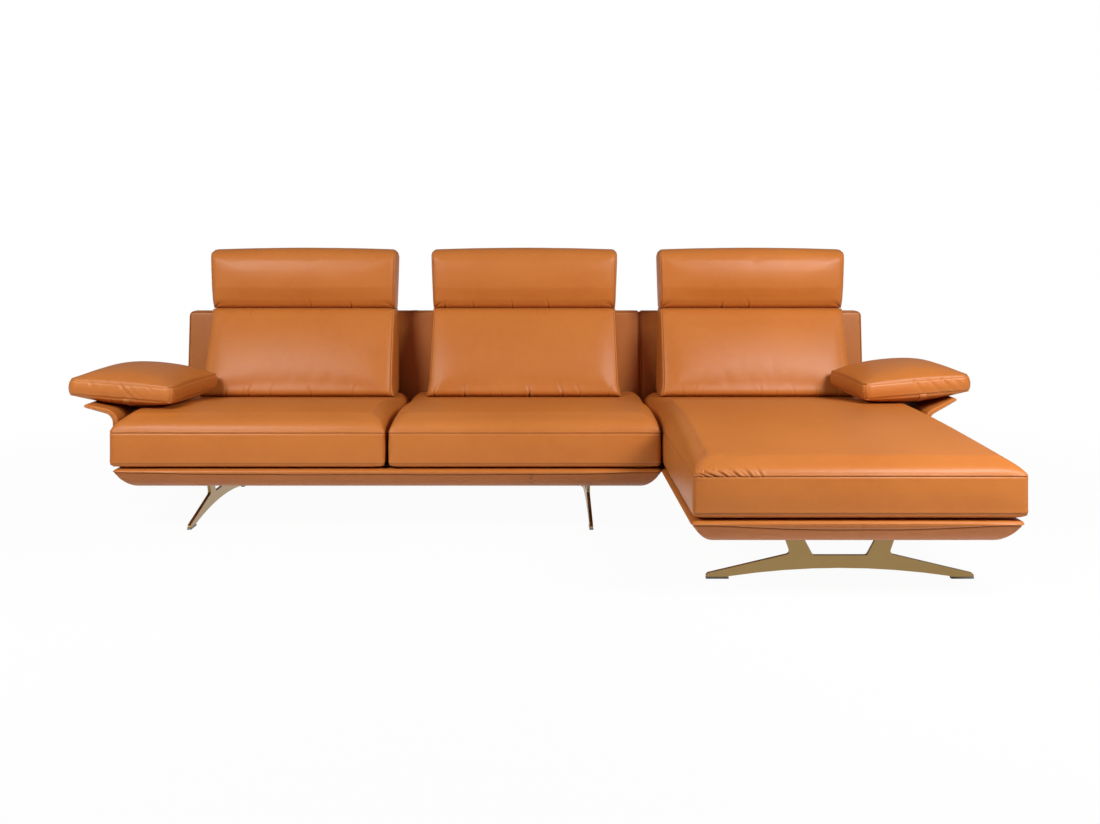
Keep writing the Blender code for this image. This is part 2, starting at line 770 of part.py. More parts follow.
def make_headrest_frame(name, axis, steel):
    """The two steel arms that carry a headrest, with a cross bar and knuckles, round the hinge axis."""
    inner = (POST_SPACING + POST_WIDTH) / 2 + KNUCKLE_GAP
    outer = inner + HINGE_ARM_WIDTH
    z_lines = [0.0, HINGE_ARM_LENGTH - BAR_HEIGHT, HINGE_ARM_LENGTH]
    front = POST_FRONT - HINGE_Y

    def filled(i, j):
        return i != 1 or j == 1

    x_lines = [-outer, -inner, inner, outer]
    shape = lattice(x_lines, z_lines, filled, facing_front, front, front + HINGE_ARM_THICKNESS)
    made = make_object(f"headrest_frame_{name}", shape, steel, axis)
    for side, sign in (("left", -1), ("right", 1)):
        ends = sorted((sign * inner, sign * outer))
        barrel = rod(BARREL_RADIUS, *ends, (0.0, 0.0), "X")
        combine(made, make_cutter(f"arm_knuckle_{name}_{side}", barrel, axis), "UNION")
    bore_hinge(made, f"arm_{name}", axis.location.x)
    return made


def place_at(made, x):
    """Moves an object to its place along X."""
    made.location.x = x
    return made


def rod_half_length():
    """Half the length of a hinge rod, from the middle of its backrest."""
    return (POST_SPACING + POST_WIDTH) / 2 + KNUCKLE_GAP + HINGE_ARM_WIDTH + ROD_OVERHANG


def bore_hinge(made, name, middle):
    """Bores the knuckles of a hinge part for the rod."""
    half = rod_half_length() + ROD_OVERHANG
    radius = (ROD_RADIUS + ROD_PLAY) / math.cos(math.pi / ROUND_SIDES)
    bore = rod(radius, -half, half, (HINGE_Y, HINGE_Z), "X")
    combine(made, place_at(make_cutter(f"bore_{name}", bore), middle), "DIFFERENCE")


def make_pivot_rod(name, middle, zinc):
    """The rod through the knuckles of a headrest hinge."""
    half = rod_half_length()
    made = make_object(f"pivot_rod_{name}", rod(ROD_RADIUS, -half, half, (HINGE_Y, HINGE_Z), "X"), zinc)
    shade_round(made)
    return place_at(made, middle)


# Arms


def wing_line(arm):
    """The middle line of an arm wing as (outward, height, direction from upright, half thickness)."""
    inner_face = BRACKET_GAP + BRACKET_THICKNESS + FIT_GAP
    out, height = inner_face + WING_THICKNESS / 2, LIP_Z + WING_FOOT_RISE
    bend = math.radians(arm.wing_bend_deg)
    points = [(out, height, 0.0, WING_THICKNESS / 2)]
    height += WING_UPRIGHT
    flare = WING_BEND_RADIUS * bend + arm.wing_blade
    bend_steps = ARC_STEPS * 2
    for step in range(bend_steps + 1):
        angle = bend * step / bend_steps
        share = WING_BEND_RADIUS * angle / flare
        half = (WING_THICKNESS + (WING_TIP_THICKNESS - WING_THICKNESS) * share) / 2
        place = out + WING_BEND_RADIUS * (1 - math.cos(angle)), height + WING_BEND_RADIUS * math.sin(angle)
        points.append((*place, angle, half))
    tip = points[-1]
    blade = arm.wing_blade - WING_TIP_THICKNESS / 2
    end = tip[0] + blade * math.sin(bend), tip[1] + blade * math.cos(bend)
    points.append((*end, bend, WING_TIP_THICKNESS / 2))
    return points


def make_arm_wing(arm, module_side, leather):
    """The flared leather-covered panel beside the seat that carries the arm cushion."""
    line = wing_line(arm)
    outer = [(u + half * math.cos(turn), z - half * math.sin(turn)) for u, z, turn, half in line]
    inner = [(u - half * math.cos(turn), z + half * math.sin(turn)) for u, z, turn, half in line]
    u, z, turn, half = line[-1]
    nose = []
    for step in range(1, ARC_STEPS):
        angle = math.pi * step / ARC_STEPS
        along, across = half * math.sin(angle), half * math.cos(angle)
        nose.append(
            (
                u + across * math.cos(turn) + along * math.sin(turn),
                z - across * math.sin(turn) + along * math.cos(turn),
            )
        )
    outline = [*outer, *nose, *inner[::-1]]

    def place(a, b, along):
        return module_side + arm.sign * a, along, b

    shape = prism(outline, place, SOFA_FRONT + arm.wing_setback, SHELL_FOOT - WING_REAR_GAP)
    made = make_object(f"arm_wing_{arm.name}", shape, leather)
    shade_round(made)
    return made


def make_arm_bracket(arm, module_side, steel):
    """The angle plate that holds the wing: it lies on the side rail, passes over the rim and turns up."""
    rail_outer = BASE_INSET + TRAY_INSET + RAIL_PLAY
    inward = -(rail_outer + RAIL_WIDTH - WEBBING_BEARING - BRACKET_GAP)
    low = RAIL_TOP + FIT_GAP
    outward = BRACKET_GAP + BRACKET_THICKNESS
    outline = [
        (inward, low),
        (outward, low),
        (outward, low + BRACKET_HEIGHT),
        (BRACKET_GAP, low + BRACKET_HEIGHT),
        (BRACKET_GAP, low + BRACKET_THICKNESS),
        (inward, low + BRACKET_THICKNESS),
    ]
    wing_middle = (SOFA_FRONT + arm.wing_setback + SHELL_FOOT - WING_REAR_GAP) / 2

    def place(a, b, along):
        return module_side + arm.sign * a, along, b

    shape = prism(outline, place, wing_middle - BRACKET_WIDTH / 2, wing_middle + BRACKET_WIDTH / 2)
    return make_object(f"arm_bracket_{arm.name}", shape, steel)


def make_arm_cushion(arm, module_side, leather):
    """The loose pillow on the arm, modelled round its own middle, tilted outer end up, rear end in."""
    half_width, half_length = ARM_CUSHION_WIDTH / 2, ARM_CUSHION_LENGTH / 2
    half_boxing = ARM_CUSHION_BOXING / 2

    def arch(x, y):
        return ((1 - (x / half_width) ** 2) * (1 - (y / half_length) ** 2)) ** ARM_CUSHION_FULLNESS

    def top(x, y):
        return half_boxing + ARM_CUSHION_CROWN * arch(x, y)

    def bottom(x, y):
        return -half_boxing - ARM_CUSHION_BELLY * arch(x, y)

    steps = (0.0, ARM_CUSHION_CORNER, 0.08)
    x_lines = [line - half_width for line in spread_lines(ARM_CUSHION_WIDTH, (*steps, 0.13))]
    y_lines = [line - half_length for line in spread_lines(ARM_CUSHION_LENGTH, (*steps, 0.16))]
    shape = pad((x_lines, y_lines), ARM_CUSHION_DRAW_IN, ARM_CUSHION_CORNER, top, [(0.0, 0.0)], bottom)
    made = make_object(f"arm_cushion_{arm.name}", shape, leather)
    outward = arm.overhang - half_width
    rear = BACK_FRONT_FOOT - ARM_CUSHION_BACK_GAP
    made.location = (module_side + arm.sign * outward, rear - half_length, SEAM_TOP + ARM_DROP_START)
    made.rotation_euler.y = -arm.sign * math.radians(arm.tilt_deg)
    made.rotation_euler.z = arm.sign * math.radians(arm.turn_deg)
    shade_round(made)
    return made


def world_tree(made):
    """The object's mesh in world space, for distance tests, and points close together along its edges."""
    corners = [made.matrix_world @ vertex.co for vertex in made.data.vertices]
    faces = [tuple(face.vertices) for face in made.data.polygons]
    points = []
    for edge in made.data.edges:
        start, end = (corners[i] for i in edge.vertices)
        points += [start.lerp(end, step / EDGE_SAMPLES) for step in range(EDGE_SAMPLES + 1)]
    return BVHTree.FromPolygons(corners, faces), points


def lower_onto(made, carriers):
    """Lowers a loose piece straight down until it lies REST_GAP above the first of its carriers."""
    bpy.context.view_layer.update()
    tree, points = world_tree(made)
    drops = []
    for carrier in carriers:
        carrier_tree, carrier_points = world_tree(carrier)
        drops += [carrier_tree.ray_cast(point, Vector((0, 0, -1)))[3] for point in points]
        drops += [tree.ray_cast(point, Vector((0, 0, 1)))[3] for point in carrier_points]
    made.location.z -= min(drop for drop in drops if drop is not None) - REST_GAP


# Legs and joining plates


def leg_outline():
    """The antler-shaped outline of a leg plate as (along, height): feet, arch, cross bar and two risers."""
    tip = LEG_LENGTH / 2
    foot_inner = tip - GLIDE_LENGTH
    under = FOOT_BOTTOM + FOOT_UNDERCUT
    riser_top = PLATE_BOTTOM + PLATE_THICKNESS / 2
    arch = []
    for step in range(ARC_STEPS + 1):
        along = foot_inner * step / ARC_STEPS
        arch.append((along, ARCH_HEIGHT - (ARCH_HEIGHT - under) * (along / foot_inner) ** 2, False))
    half = [
        *arch,
        (foot_inner, FOOT_BOTTOM, False),
        (tip, FOOT_BOTTOM, False),
        (tip, FOOT_TIP_HEIGHT - FOOT_TOE, False),
        (tip - FOOT_TOE, FOOT_TIP_HEIGHT, False),
        (SHOULDER_OUT, SHOULDER_HEIGHT, True),
        (RISER_TOP_OUT, riser_top, False),
        (RISER_TOP_IN, riser_top, False),
        (RISER_FOOT_IN, CROSSBAR_TOP, True),
    ]
    mirrored = [(-along, height, is_round) for along, height, is_round in reversed(half[1:])]
    return filleted(half + mirrored, LEG_FILLET)


def make_bolt(name, x, y, bottom, length, zinc):
    """A cap bolt that points up: its head below, its shank above."""
    top = bottom + BOLT_HEAD_HEIGHT
    angles = [2 * math.pi * i / ROUND_SIDES for i in range(ROUND_SIDES)]
    profile = (
        (BOLT_HEAD_RADIUS, bottom),
        (BOLT_HEAD_RADIUS, top),
        (BOLT_SHANK_RADIUS, top),
        (BOLT_SHANK_RADIUS, top + length),
    )
    rings = []
    for radius, height in profile:
        rings.append([(radius * math.cos(a), radius * math.sin(a), height) for a in angles])
    made = make_object(name, loft(rings), zinc)
    made.location = (x, y, 0.0)
    return made


def fasten(name, x, y, clamped, zinc):
    """Bolts the clamped pieces together: one bolt from below, and a hole for it in each piece."""
    length = PLATE_THICKNESS + FIT_GAP + TRAY_FLOOR + FIT_GAP + BOLT_BITE
    bottom = PLATE_BOTTOM - FIT_GAP - BOLT_HEAD_HEIGHT
    make_bolt(name, x, y, bottom, length, zinc)
    radius = (BOLT_SHANK_RADIUS + HOLE_PLAY) / math.cos(math.pi / ROUND_SIDES)
    hole_start = PLATE_BOTTOM - PLATE_THICKNESS
    hole_end = bottom + BOLT_HEAD_HEIGHT + length + HOLE_PLAY
    hole = make_cutter(f"hole_{name}", rod(radius, hole_start, hole_end, (x, y), "Z"))
    for piece in clamped:
        combine(piece, hole, "DIFFERENCE")


def make_leg(name, x, y, turn_deg, base_shell, underframe, materials):
    """One leg plate with its mounting plates, glides and bolts. It runs along X, turned by turn_deg."""
    turn = Matrix.Rotation(math.radians(turn_deg), 3, "Z")
    half = LEG_THICKNESS / 2
    leg = make_object(f"leg_{name}", prism(leg_outline(), facing_front, -half, half), materials["bronze"])
    leg.location = (x, y, 0.0)
    leg.rotation_euler.z = math.radians(turn_deg)
    for side, sign in (("a", -1), ("b", 1)):
        riser = sign * RISER_TOP_MIDDLE
        low = (riser - PLATE_LENGTH / 2, -PLATE_WIDTH / 2, PLATE_BOTTOM)
        high = (riser + PLATE_LENGTH / 2, PLATE_WIDTH / 2, PLATE_TOP)
        combine(leg, make_cutter(f"plate_{name}_{side}", box(low, high), leg), "UNION")
        tip = sign * LEG_LENGTH / 2
        ends = sorted((tip, tip - sign * GLIDE_LENGTH))
        pad_low = (ends[0], -GLIDE_WIDTH / 2, 0.0)
        pad_high = (ends[1], GLIDE_WIDTH / 2, GLIDE_THICKNESS)
        glide = make_object(f"glide_{name}_{side}", box(pad_low, pad_high), materials["felt"])
        glide.location = leg.location
        glide.rotation_euler = leg.rotation_euler
        bolt_place = Vector((x, y, 0.0)) + turn @ Vector((riser, BOLT_OFFSET, 0.0))
        clamped = (leg, base_shell, underframe)
        fasten(f"leg_bolt_{name}_{side}", bolt_place.x, bolt_place.y, clamped, materials["zinc"])
    return leg


def make_joining_plate(name, y, shells, underframes, materials):
    """A flat bar under both bases that keeps the two modules side by side, with a bolt at each end."""
    sofa_bolt = SOFA.frame[1] - RAIL_WIDTH / 2
    chaise_bolt = CHAISE.frame[0] + RAIL_WIDTH / 2
    low = (sofa_bolt - JOINING_PLATE_END, y - JOINING_PLATE_WIDTH / 2, PLATE_BOTTOM)
    high = (chaise_bolt + JOINING_PLATE_END, y + JOINING_PLATE_WIDTH / 2, PLATE_TOP)
    plate = make_object(f"joining_plate_{name}", box(low, high), materials["steel"])
    for module, x in ((SOFA, sofa_bolt), (CHAISE, chaise_bolt)):
        clamped = (plate, shells[module], underframes[module])
        fasten(f"joining_bolt_{name}_{module.name}", x, y, clamped, materials["zinc"])


# Assembly


def main():
    """Builds every piece of the sofa in its place."""
    clear_scene()
    materials = make_materials()
    leather, steel = materials["leather"], materials["steel"]
    sofa_rails = (SOFA_LEFT + LEG_END_INSET, (SOFA_LEFT + SOFA_RIGHT) / 2, SOFA_RIGHT - LEG_END_INSET)
    cross_rails = {
        SOFA: [("X", place) for place in sofa_rails],
        CHAISE: [("Y", CHAISE_FRONT + CHAISE_LEG_SETBACK), ("Y", SOFA_FRONT), ("X", CHAISE_MIDDLE)],
    }
    shells, underframes = {}, {}
    for module in (SOFA, CHAISE):
        shells[module] = make_base_shell(module, leather)
        underframes[module] = make_underframe(module, cross_rails[module], materials["timber"])
        make_webbing(module, materials["webbing"])
        make_back_shell(module, leather)
    seats = {seat: make_seat_cushion(seat, leather) for seat in (LEFT_SEAT, RIGHT_SEAT, CHAISE_SEAT)}
    for name, middle in BACKRESTS:
        axis = make_empty(f"headrest_axis_{name}", (middle, HINGE_Y, HINGE_Z))
        make_back_cushion(name, middle, leather)
        make_headrest(name, axis, leather)
        make_back_frame(name, middle, steel)
        make_headrest_frame(name, axis, steel)
        make_pivot_rod(name, middle, materials["zinc"])
    for arm, module, seat in ARMS:
        module_side = module.left if arm.sign < 0 else module.right
        wing = make_arm_wing(arm, module_side, leather)
        make_arm_bracket(arm, module_side, steel)
        cushion = make_arm_cushion(arm, module_side, leather)
        lower_onto(cushion, (wing, seats[seat]))
    for name, module, x, y, turn_deg in LEGS:
        make_leg(name, x, y, turn_deg, shells[module], underframes[module], materials)
    make_joining_plate("front", SOFA_FRONT + JOINING_FRONT, shells, underframes, materials)
    make_joining_plate("rear", REAR - JOINING_REAR, shells, underframes, materials)


main()
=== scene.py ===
"""Looks of a leather corner sofa with a chaise longue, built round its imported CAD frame.

Metres, +Z up. The seats face -Y and the chaise longue stands on the +X side.
"""

import json
import logging
import math
from dataclasses import dataclass, field
from enum import Enum
from typing import Any, Sequence

import bmesh
import bpy
import numpy as np
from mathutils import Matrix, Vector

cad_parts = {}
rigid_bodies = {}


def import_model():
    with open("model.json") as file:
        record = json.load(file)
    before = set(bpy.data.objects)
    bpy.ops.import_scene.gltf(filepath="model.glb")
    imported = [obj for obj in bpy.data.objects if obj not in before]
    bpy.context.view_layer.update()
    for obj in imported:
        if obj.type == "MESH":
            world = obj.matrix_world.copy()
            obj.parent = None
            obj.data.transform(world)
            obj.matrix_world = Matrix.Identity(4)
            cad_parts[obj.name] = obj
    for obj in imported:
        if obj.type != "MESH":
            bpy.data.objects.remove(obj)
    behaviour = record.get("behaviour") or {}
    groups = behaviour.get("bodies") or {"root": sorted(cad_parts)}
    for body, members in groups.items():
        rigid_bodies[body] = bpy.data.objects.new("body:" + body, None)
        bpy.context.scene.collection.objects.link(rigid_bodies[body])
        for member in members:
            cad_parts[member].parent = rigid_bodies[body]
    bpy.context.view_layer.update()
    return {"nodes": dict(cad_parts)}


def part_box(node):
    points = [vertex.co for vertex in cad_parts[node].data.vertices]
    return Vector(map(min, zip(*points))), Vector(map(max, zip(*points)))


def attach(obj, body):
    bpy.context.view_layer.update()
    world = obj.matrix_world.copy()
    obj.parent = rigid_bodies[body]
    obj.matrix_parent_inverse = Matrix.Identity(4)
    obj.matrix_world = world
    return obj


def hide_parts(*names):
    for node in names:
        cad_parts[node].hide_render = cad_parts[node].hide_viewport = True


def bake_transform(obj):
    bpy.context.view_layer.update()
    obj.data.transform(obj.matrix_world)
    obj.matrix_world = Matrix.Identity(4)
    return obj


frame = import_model()
LOG = logging.getLogger("corner_sofa")
ROOT_BODY = "sofa_frame"

Array = np.ndarray
Triple = tuple[float, float, float]

# Lines nearer than TOUCH are one line, FAR is past the reach of any seam or fold, and AWAY past every piece
TOUCH = 1e-6
FAR = 1.0
AWAY = 9.0
# The least length and the least area that a vector is divided by
TINY = 1e-9
NO_AREA = 1e-12

PLACES = ("left", "middle", "chaise")


class Slot(Enum):
    """The record's material slots for the scene's own leather and bronze pieces; nothing here reads them."""

    LEATHER = "cognac_leather"
    BRONZE = "champagne_bronze"


class Axis(Enum):
    """The three axes of a box of cloth, in its own order."""

    ACROSS = 0
    DEPTH = 1
    HEIGHT = 2


# Shader values and nodes


class Value:
    """A shader value: it wraps a socket, and its operators add Math nodes."""

    def __init__(self, shader: "Shader", socket: bpy.types.NodeSocket) -> None:
        """Wraps one output socket of a shader's node."""
        self.shader = shader
        self.socket = socket

    def _math(self, operation: str, first: Any, second: Any) -> "Value":
        """Adds a Math node for two operands."""
        return self.shader.node("ShaderNodeMath", {"operation": operation}, {0: first, 1: second})

    def __add__(self, other: Any) -> "Value":
        """Sum."""
        return self._math("ADD", self, other)

    def __radd__(self, other: Any) -> "Value":
        """Sum with a number on the left."""
        return self._math("ADD", other, self)

    def __sub__(self, other: Any) -> "Value":
        """Difference."""
        return self._math("SUBTRACT", self, other)

    def __rsub__(self, other: Any) -> "Value":
        """Difference from a number on the left."""
        return self._math("SUBTRACT", other, self)

    def __mul__(self, other: Any) -> "Value":
        """Product."""
        return self._math("MULTIPLY", self, other)

    def __rmul__(self, other: Any) -> "Value":
        """Product with a number on the left."""
        return self._math("MULTIPLY", other, self)

    def __pow__(self, other: Any) -> "Value":
        """Power."""
        return self._math("POWER", self, other)

    def limited(self) -> "Value":
        """The value held between 0 and 1."""
        return self.shader.node("ShaderNodeClamp", {}, {0: self})


class Shader:
    """A material's node tree with one Principled surface."""

    def __init__(self, name: str) -> None:
        """Starts a material with a bare surface.

        Args:
            name: the material's name.
        """
        self.material = bpy.data.materials.new(name)
        self.material.use_nodes = True
        self.tree = self.material.node_tree
        self.tree.nodes.clear()
        self.output = self.tree.nodes.new("ShaderNodeOutputMaterial")
        self.surface = self.tree.nodes.new("ShaderNodeBsdfPrincipled")
        self.tree.links.new(self.surface.outputs[0], self.output.inputs["Surface"])

    def node(self, kind: str, settings: dict[str, Any], sockets: dict[Any, Any], output: Any = 0) -> Value:
        """Adds any node.

        Args:
            kind: the node's type.
            settings: its properties, set first; "stops" gives a ramp's (place, colour) pairs.
            sockets: a value or a link for each input, by name or number.
            output: the name or number of the output to wrap.

        Returns:
            The wrapped output.
        """
        made = self.tree.nodes.new(kind)
        for name, value in settings.items():
            if name == "stops":
                elements = made.color_ramp.elements
                while len(elements) < len(value):
                    elements.new(0.5)
                for element, (place, colour) in zip(elements, value):
                    element.position = place
                    element.color = (*colour, 1.0)
            else:
                setattr(made, name, value)
        for key, value in sockets.items():
            self.feed(made.inputs[key], value)
        return Value(self, made.outputs[output])

    def feed(self, socket: bpy.types.NodeSocket, value: Any) -> None:
        """Links a Value to a socket, or sets the socket to a plain number or colour.

        Args:
            socket: the input to feed.
            value: a Value, a number, or a colour's three parts.
        """
        if isinstance(value, Value):
            self.tree.links.new(value.socket, socket)
        elif isinstance(value, tuple) and len(value) == 3 and socket.type == "RGBA":
            socket.default_value = (*value, 1.0)
        else:
            socket.default_value = value

    def place(self, scale: Triple = (1.0, 1.0, 1.0)) -> Value:
        """Object coordinates, scaled by a Mapping node."""
        coordinates = self.node("ShaderNodeTexCoord", {}, {}, "Object")
        return self.node("ShaderNodeMapping", {}, {"Vector": coordinates, "Scale": scale})

    def noise(self, vector: Value, scale: float, detail: float = 3.0, rough: float = 0.55) -> Value:
        """Cloudy noise from 0 to 1."""
        sockets = {"Vector": vector, "Scale": scale, "Detail": detail, "Roughness": rough}
        return self.node("ShaderNodeTexNoise", {}, sockets, 0)

    def cells(self, vector: Value, scale: float) -> Value:
        """Distance to the edge of round cells, for grain."""
        settings = {"feature": "DISTANCE_TO_EDGE"}
        return self.node("ShaderNodeTexVoronoi", settings, {"Vector": vector, "Scale": scale}, "Distance")

    def attribute(self, name: str) -> Value:
        """A number kept on the mesh."""
        return self.node("ShaderNodeAttribute", {"attribute_name": name}, {}, "Fac")

    def mix(self, share: Any, first: Any, second: Any) -> Value:
        """A colour between two others."""
        return self.node("ShaderNodeMix", {"data_type": "RGBA"}, {0: share, 6: first, 7: second}, 2)

    def bump(self, height: Value, strength: float, distance: float, below: Value | None = None) -> Value:
        """A normal from a height.

        Args:
            height: the height, from 0 to 1.
            strength: how much of the bump shows.
            distance: what a height of 1 stands for, in metres.
            below: a bump that this one lies on.

        Returns:
            The normal.
        """
        sockets: dict[Any, Any] = {"Height": height, "Strength": strength, "Distance": distance}
        if below is not None:
            sockets["Normal"] = below
        return self.node("ShaderNodeBump", {}, sockets)

    def dress(self, **sockets: Any) -> bpy.types.Material:
        """Feeds the Principled surface.

        Args:
            sockets: a value or a link for each input, where Base_Color stands for "Base Color".

        Returns:
            The material.
        """
        for key, value in sockets.items():
            self.feed(self.surface.inputs[key.replace("_", " ")], value)
        return self.material


# Finishes


@dataclass(frozen=True)
class Finish:
    """A named finish that can build its material."""

    name: str

    def build(self) -> bpy.types.Material:
        """Makes the material."""
        raise NotImplementedError


@dataclass(frozen=True)
class Leather(Finish):
    """Smooth aniline leather: pebbled grain, cloudy colour, rubbed edges and painted highlights that lighten
    it, painted shade that darkens seams and folds.
    """

    tone: Triple = (0.510, 0.162, 0.030)
    deep: Triple = (0.440, 0.130, 0.022)
    # Colour of rubbed edges and of painted highlights on seam rolls and fold ridges
    highlight_and_wear_tone: Triple = (0.590, 0.222, 0.060)
    # Colour of painted shade in seam grooves, fold valleys and joins
    seam: Triple = (0.210, 0.056, 0.009)
    roughness: float = 0.40

    def build(self) -> bpy.types.Material:
        """Clouds and mottle for colour and gloss; pebbles, pores and a slack ripple for the bump.

        Returns:
            The material.
        """
        shader = Shader(self.name)
        place = shader.place()
        clouds = shader.noise(place, scale=3.2, detail=4.0)
        mottle = shader.noise(place, scale=38.0, detail=3.0)
        grain = shader.cells(place, scale=620.0)
        pores = shader.noise(place, scale=1500.0, detail=2.0)
        ripple = shader.noise(place, scale=26.0, detail=2.0)
        # Per-vertex numbers kept on each piece: rubbing with painted highlight, and painted shade
        wear = shader.attribute("wear")
        crease = shader.attribute("crease")
        body = shader.mix((clouds * 1.9 - 0.45).limited(), self.deep, self.tone)
        body = shader.mix((mottle * 0.9 - 0.30).limited(), body, self.tone)
        # Lighter where rubbed and where a highlight is painted
        body = shader.mix((wear * 0.55 * (0.55 + mottle * 0.9)).limited(), body, self.highlight_and_wear_tone)
        # Painted shade: darker in seams, folds and other hollows
        body = shader.mix((crease * 0.85).limited(), body, self.seam)
        gloss = self.roughness + (mottle - 0.5) * 0.08 + (clouds - 0.5) * 0.08 - wear * 0.05 + crease * 0.12
        slack = shader.bump(ripple, strength=0.12, distance=0.0030)
        height = (grain * 9.0).limited() + pores * 0.35
        pebble = shader.bump(height, strength=0.13, distance=0.0006, below=slack)
        return shader.dress(
            Base_Color=body, Roughness=gloss.limited(), Normal=pebble, IOR=1.46, Specular_IOR_Level=0.32
        )


@dataclass(frozen=True)
class Thread(Finish):
    """Waxed sewing thread, a little paler than the leather, with its twist."""

    tone: Triple = (0.520, 0.205, 0.062)

    def build(self) -> bpy.types.Material:
        """Fine noise for the plies of the thread.

        Returns:
            The material.
        """
        shader = Shader(self.name)
        plies = shader.noise(shader.place(), scale=2400.0, detail=2.0)
        tone = shader.mix(plies, tuple(x * 0.72 for x in self.tone), self.tone)
        return shader.dress(Base_Color=tone, Roughness=0.62, Normal=shader.bump(plies, 0.3, 0.0004))


@dataclass(frozen=True)
class Metal(Finish):
    """A metal with a brushed or a cast skin."""

    tone: Triple
    dull: Triple
    roughness: float
    brushed: Triple = (1.0, 1.0, 1.0)
    scale: float = 900.0
    depth: float = 0.00006
    metallic: float = 1.0

    def build(self) -> bpy.types.Material:
        """Noise drawn out along the brushing, and clouds of handling marks.

        Returns:
            The material.
        """
        shader = Shader(self.name)
        strokes = shader.noise(shader.place(self.brushed), self.scale, detail=2.0)
        marks = shader.noise(shader.place(), scale=14.0, detail=4.0)
        tone = shader.mix((marks * 1.4 - 0.3).limited(), self.dull, self.tone)
        gloss = self.roughness + (strokes - 0.5) * 0.12 + (marks - 0.5) * 0.16
        return shader.dress(
            Base_Color=tone,
            Metallic=self.metallic,
            Roughness=gloss.limited(),
            Normal=shader.bump(strokes, 0.25, self.depth),
        )


@dataclass(frozen=True)
class Timber(Finish):
    """Planed beech: drawn-out grain with short flecks."""

    tone: Triple = (0.52, 0.33, 0.17)
    dark: Triple = (0.36, 0.20, 0.09)

    def build(self) -> bpy.types.Material:
        """Noise stretched along X for the grain, and finer noise for the flecks.

        Returns:
            The material.
        """
        shader = Shader(self.name)
        grain = shader.noise(shader.place((2.0, 26.0, 26.0)), scale=3.0, detail=5.0)
        flecks = shader.noise(shader.place((30.0, 260.0, 260.0)), scale=2.0, detail=2.0)
        tone = shader.mix((grain * 1.6 - 0.3).limited(), self.dark, self.tone)
        tone = shader.mix((flecks * 3.0 - 1.9).limited() * 0.6, tone, self.dark)
        return shader.dress(
            Base_Color=tone, Roughness=0.5 + grain * 0.2, Normal=shader.bump(grain, 0.2, 0.0005)
        )


@dataclass(frozen=True)
class Woven(Finish):
    """A woven or felted cloth: two crossed waves, or plain fibres."""

    tone: Triple
    light: Triple
    threads: float
    fuzz: float

    def build(self) -> bpy.types.Material:
        """The product of two waves across each other, with noise for the fibres.

        Returns:
            The material.
        """
        shader = Shader(self.name)
        place = shader.place()
        waves = [
            shader.node(
                "ShaderNodeTexWave",
                {"bands_direction": direction},
                {"Vector": place, "Scale": self.threads, "Distortion": 0.6},
                1,
            )
            for direction in ("X", "Y")
        ]
        weave = waves[0] * waves[1]
        fibres = shader.noise(place, self.fuzz, detail=3.0)
        tone = shader.mix((weave * 0.6 + fibres * 0.5).limited(), self.tone, self.light)
        height = weave * 0.7 + fibres * 0.5
        return shader.dress(
            Base_Color=tone, Roughness=0.8 + fibres * 0.15, Normal=shader.bump(height, 0.5, 0.0006)
        )


LEATHER = Leather("leather_cognac")
THREAD = Thread("thread_waxed")
BRONZE = Metal(
    "bronze_satin",
    tone=(0.400, 0.265, 0.112),
    dull=(0.335, 0.215, 0.085),
    roughness=0.36,
    brushed=(1.0, 1.0, 9.0),
    scale=420.0,
    depth=0.00005,
)
STEEL = Metal(
    "steel_powder_black",
    tone=(0.045, 0.045, 0.047),
    dull=(0.030, 0.030, 0.031),
    roughness=0.52,
    depth=0.00012,
    metallic=0.4,
)
ZINC = Metal("zinc_plated", tone=(0.60, 0.60, 0.58), dull=(0.45, 0.45, 0.44), roughness=0.36)
TIMBER = Timber("beech_planed")
WEBBING = Woven("webbing_black", (0.018, 0.017, 0.017), (0.060, 0.058, 0.056), threads=160.0, fuzz=900.0)
FELT = Woven("felt_grey", (0.19, 0.19, 0.20), (0.30, 0.30, 0.31), threads=420.0, fuzz=1400.0)


class Paints:
    """Builds each finish once."""

    def __init__(self) -> None:
        """Starts with no finish built."""
        self.made: dict[str, bpy.types.Material] = {}

    def of(self, finish: Finish) -> bpy.types.Material:
        """The material of a finish, built the first time that it is asked for.

        Args:
            finish: the finish.

        Returns:
            Its material.
        """
        if finish.name not in self.made:
            self.made[finish.name] = finish.build()
        return self.made[finish.name]


PAINTS = Paints()


# Meshes


def make_piece(name: str, points: Array, faces: Sequence[Sequence[int]], finish: Finish) -> bpy.types.Object:
    """Puts points and faces into a smooth mesh object at the origin, faces turned outwards.

    Args:
        name: the piece's name.
        points: an array of n by 3 places in the frame.
        faces: the corners of each face.
        finish: what it is covered with.

    Returns:
        The object, linked to the scene.
    """
    mesh = bpy.data.meshes.new(name)
    mesh.from_pydata(points.tolist(), [], [list(face) for face in faces])
    builder = bmesh.new()
    builder.from_mesh(mesh)
    bmesh.ops.recalc_face_normals(builder, faces=builder.faces)
    builder.to_mesh(mesh)
    builder.free()
    mesh.shade_smooth()
    mesh.materials.append(PAINTS.of(finish))
    made = bpy.data.objects.new(name, mesh)
    bpy.context.scene.collection.objects.link(made)
    return made


def keep_number(piece: bpy.types.Object, name: str, values: Array | float) -> None:
    """Keeps one number for each vertex on the mesh, for the material to read.

    Args:
        piece: the piece.
        name: what the material calls it.
        values: a number for each vertex, or one for all.
    """
    every = np.broadcast_to(values, len(piece.data.vertices))
    kept = piece.data.attributes.new(name, "FLOAT", "POINT")
    kept.data.foreach_set("value", np.clip(every, 0.0, 1.0).astype(np.float32))


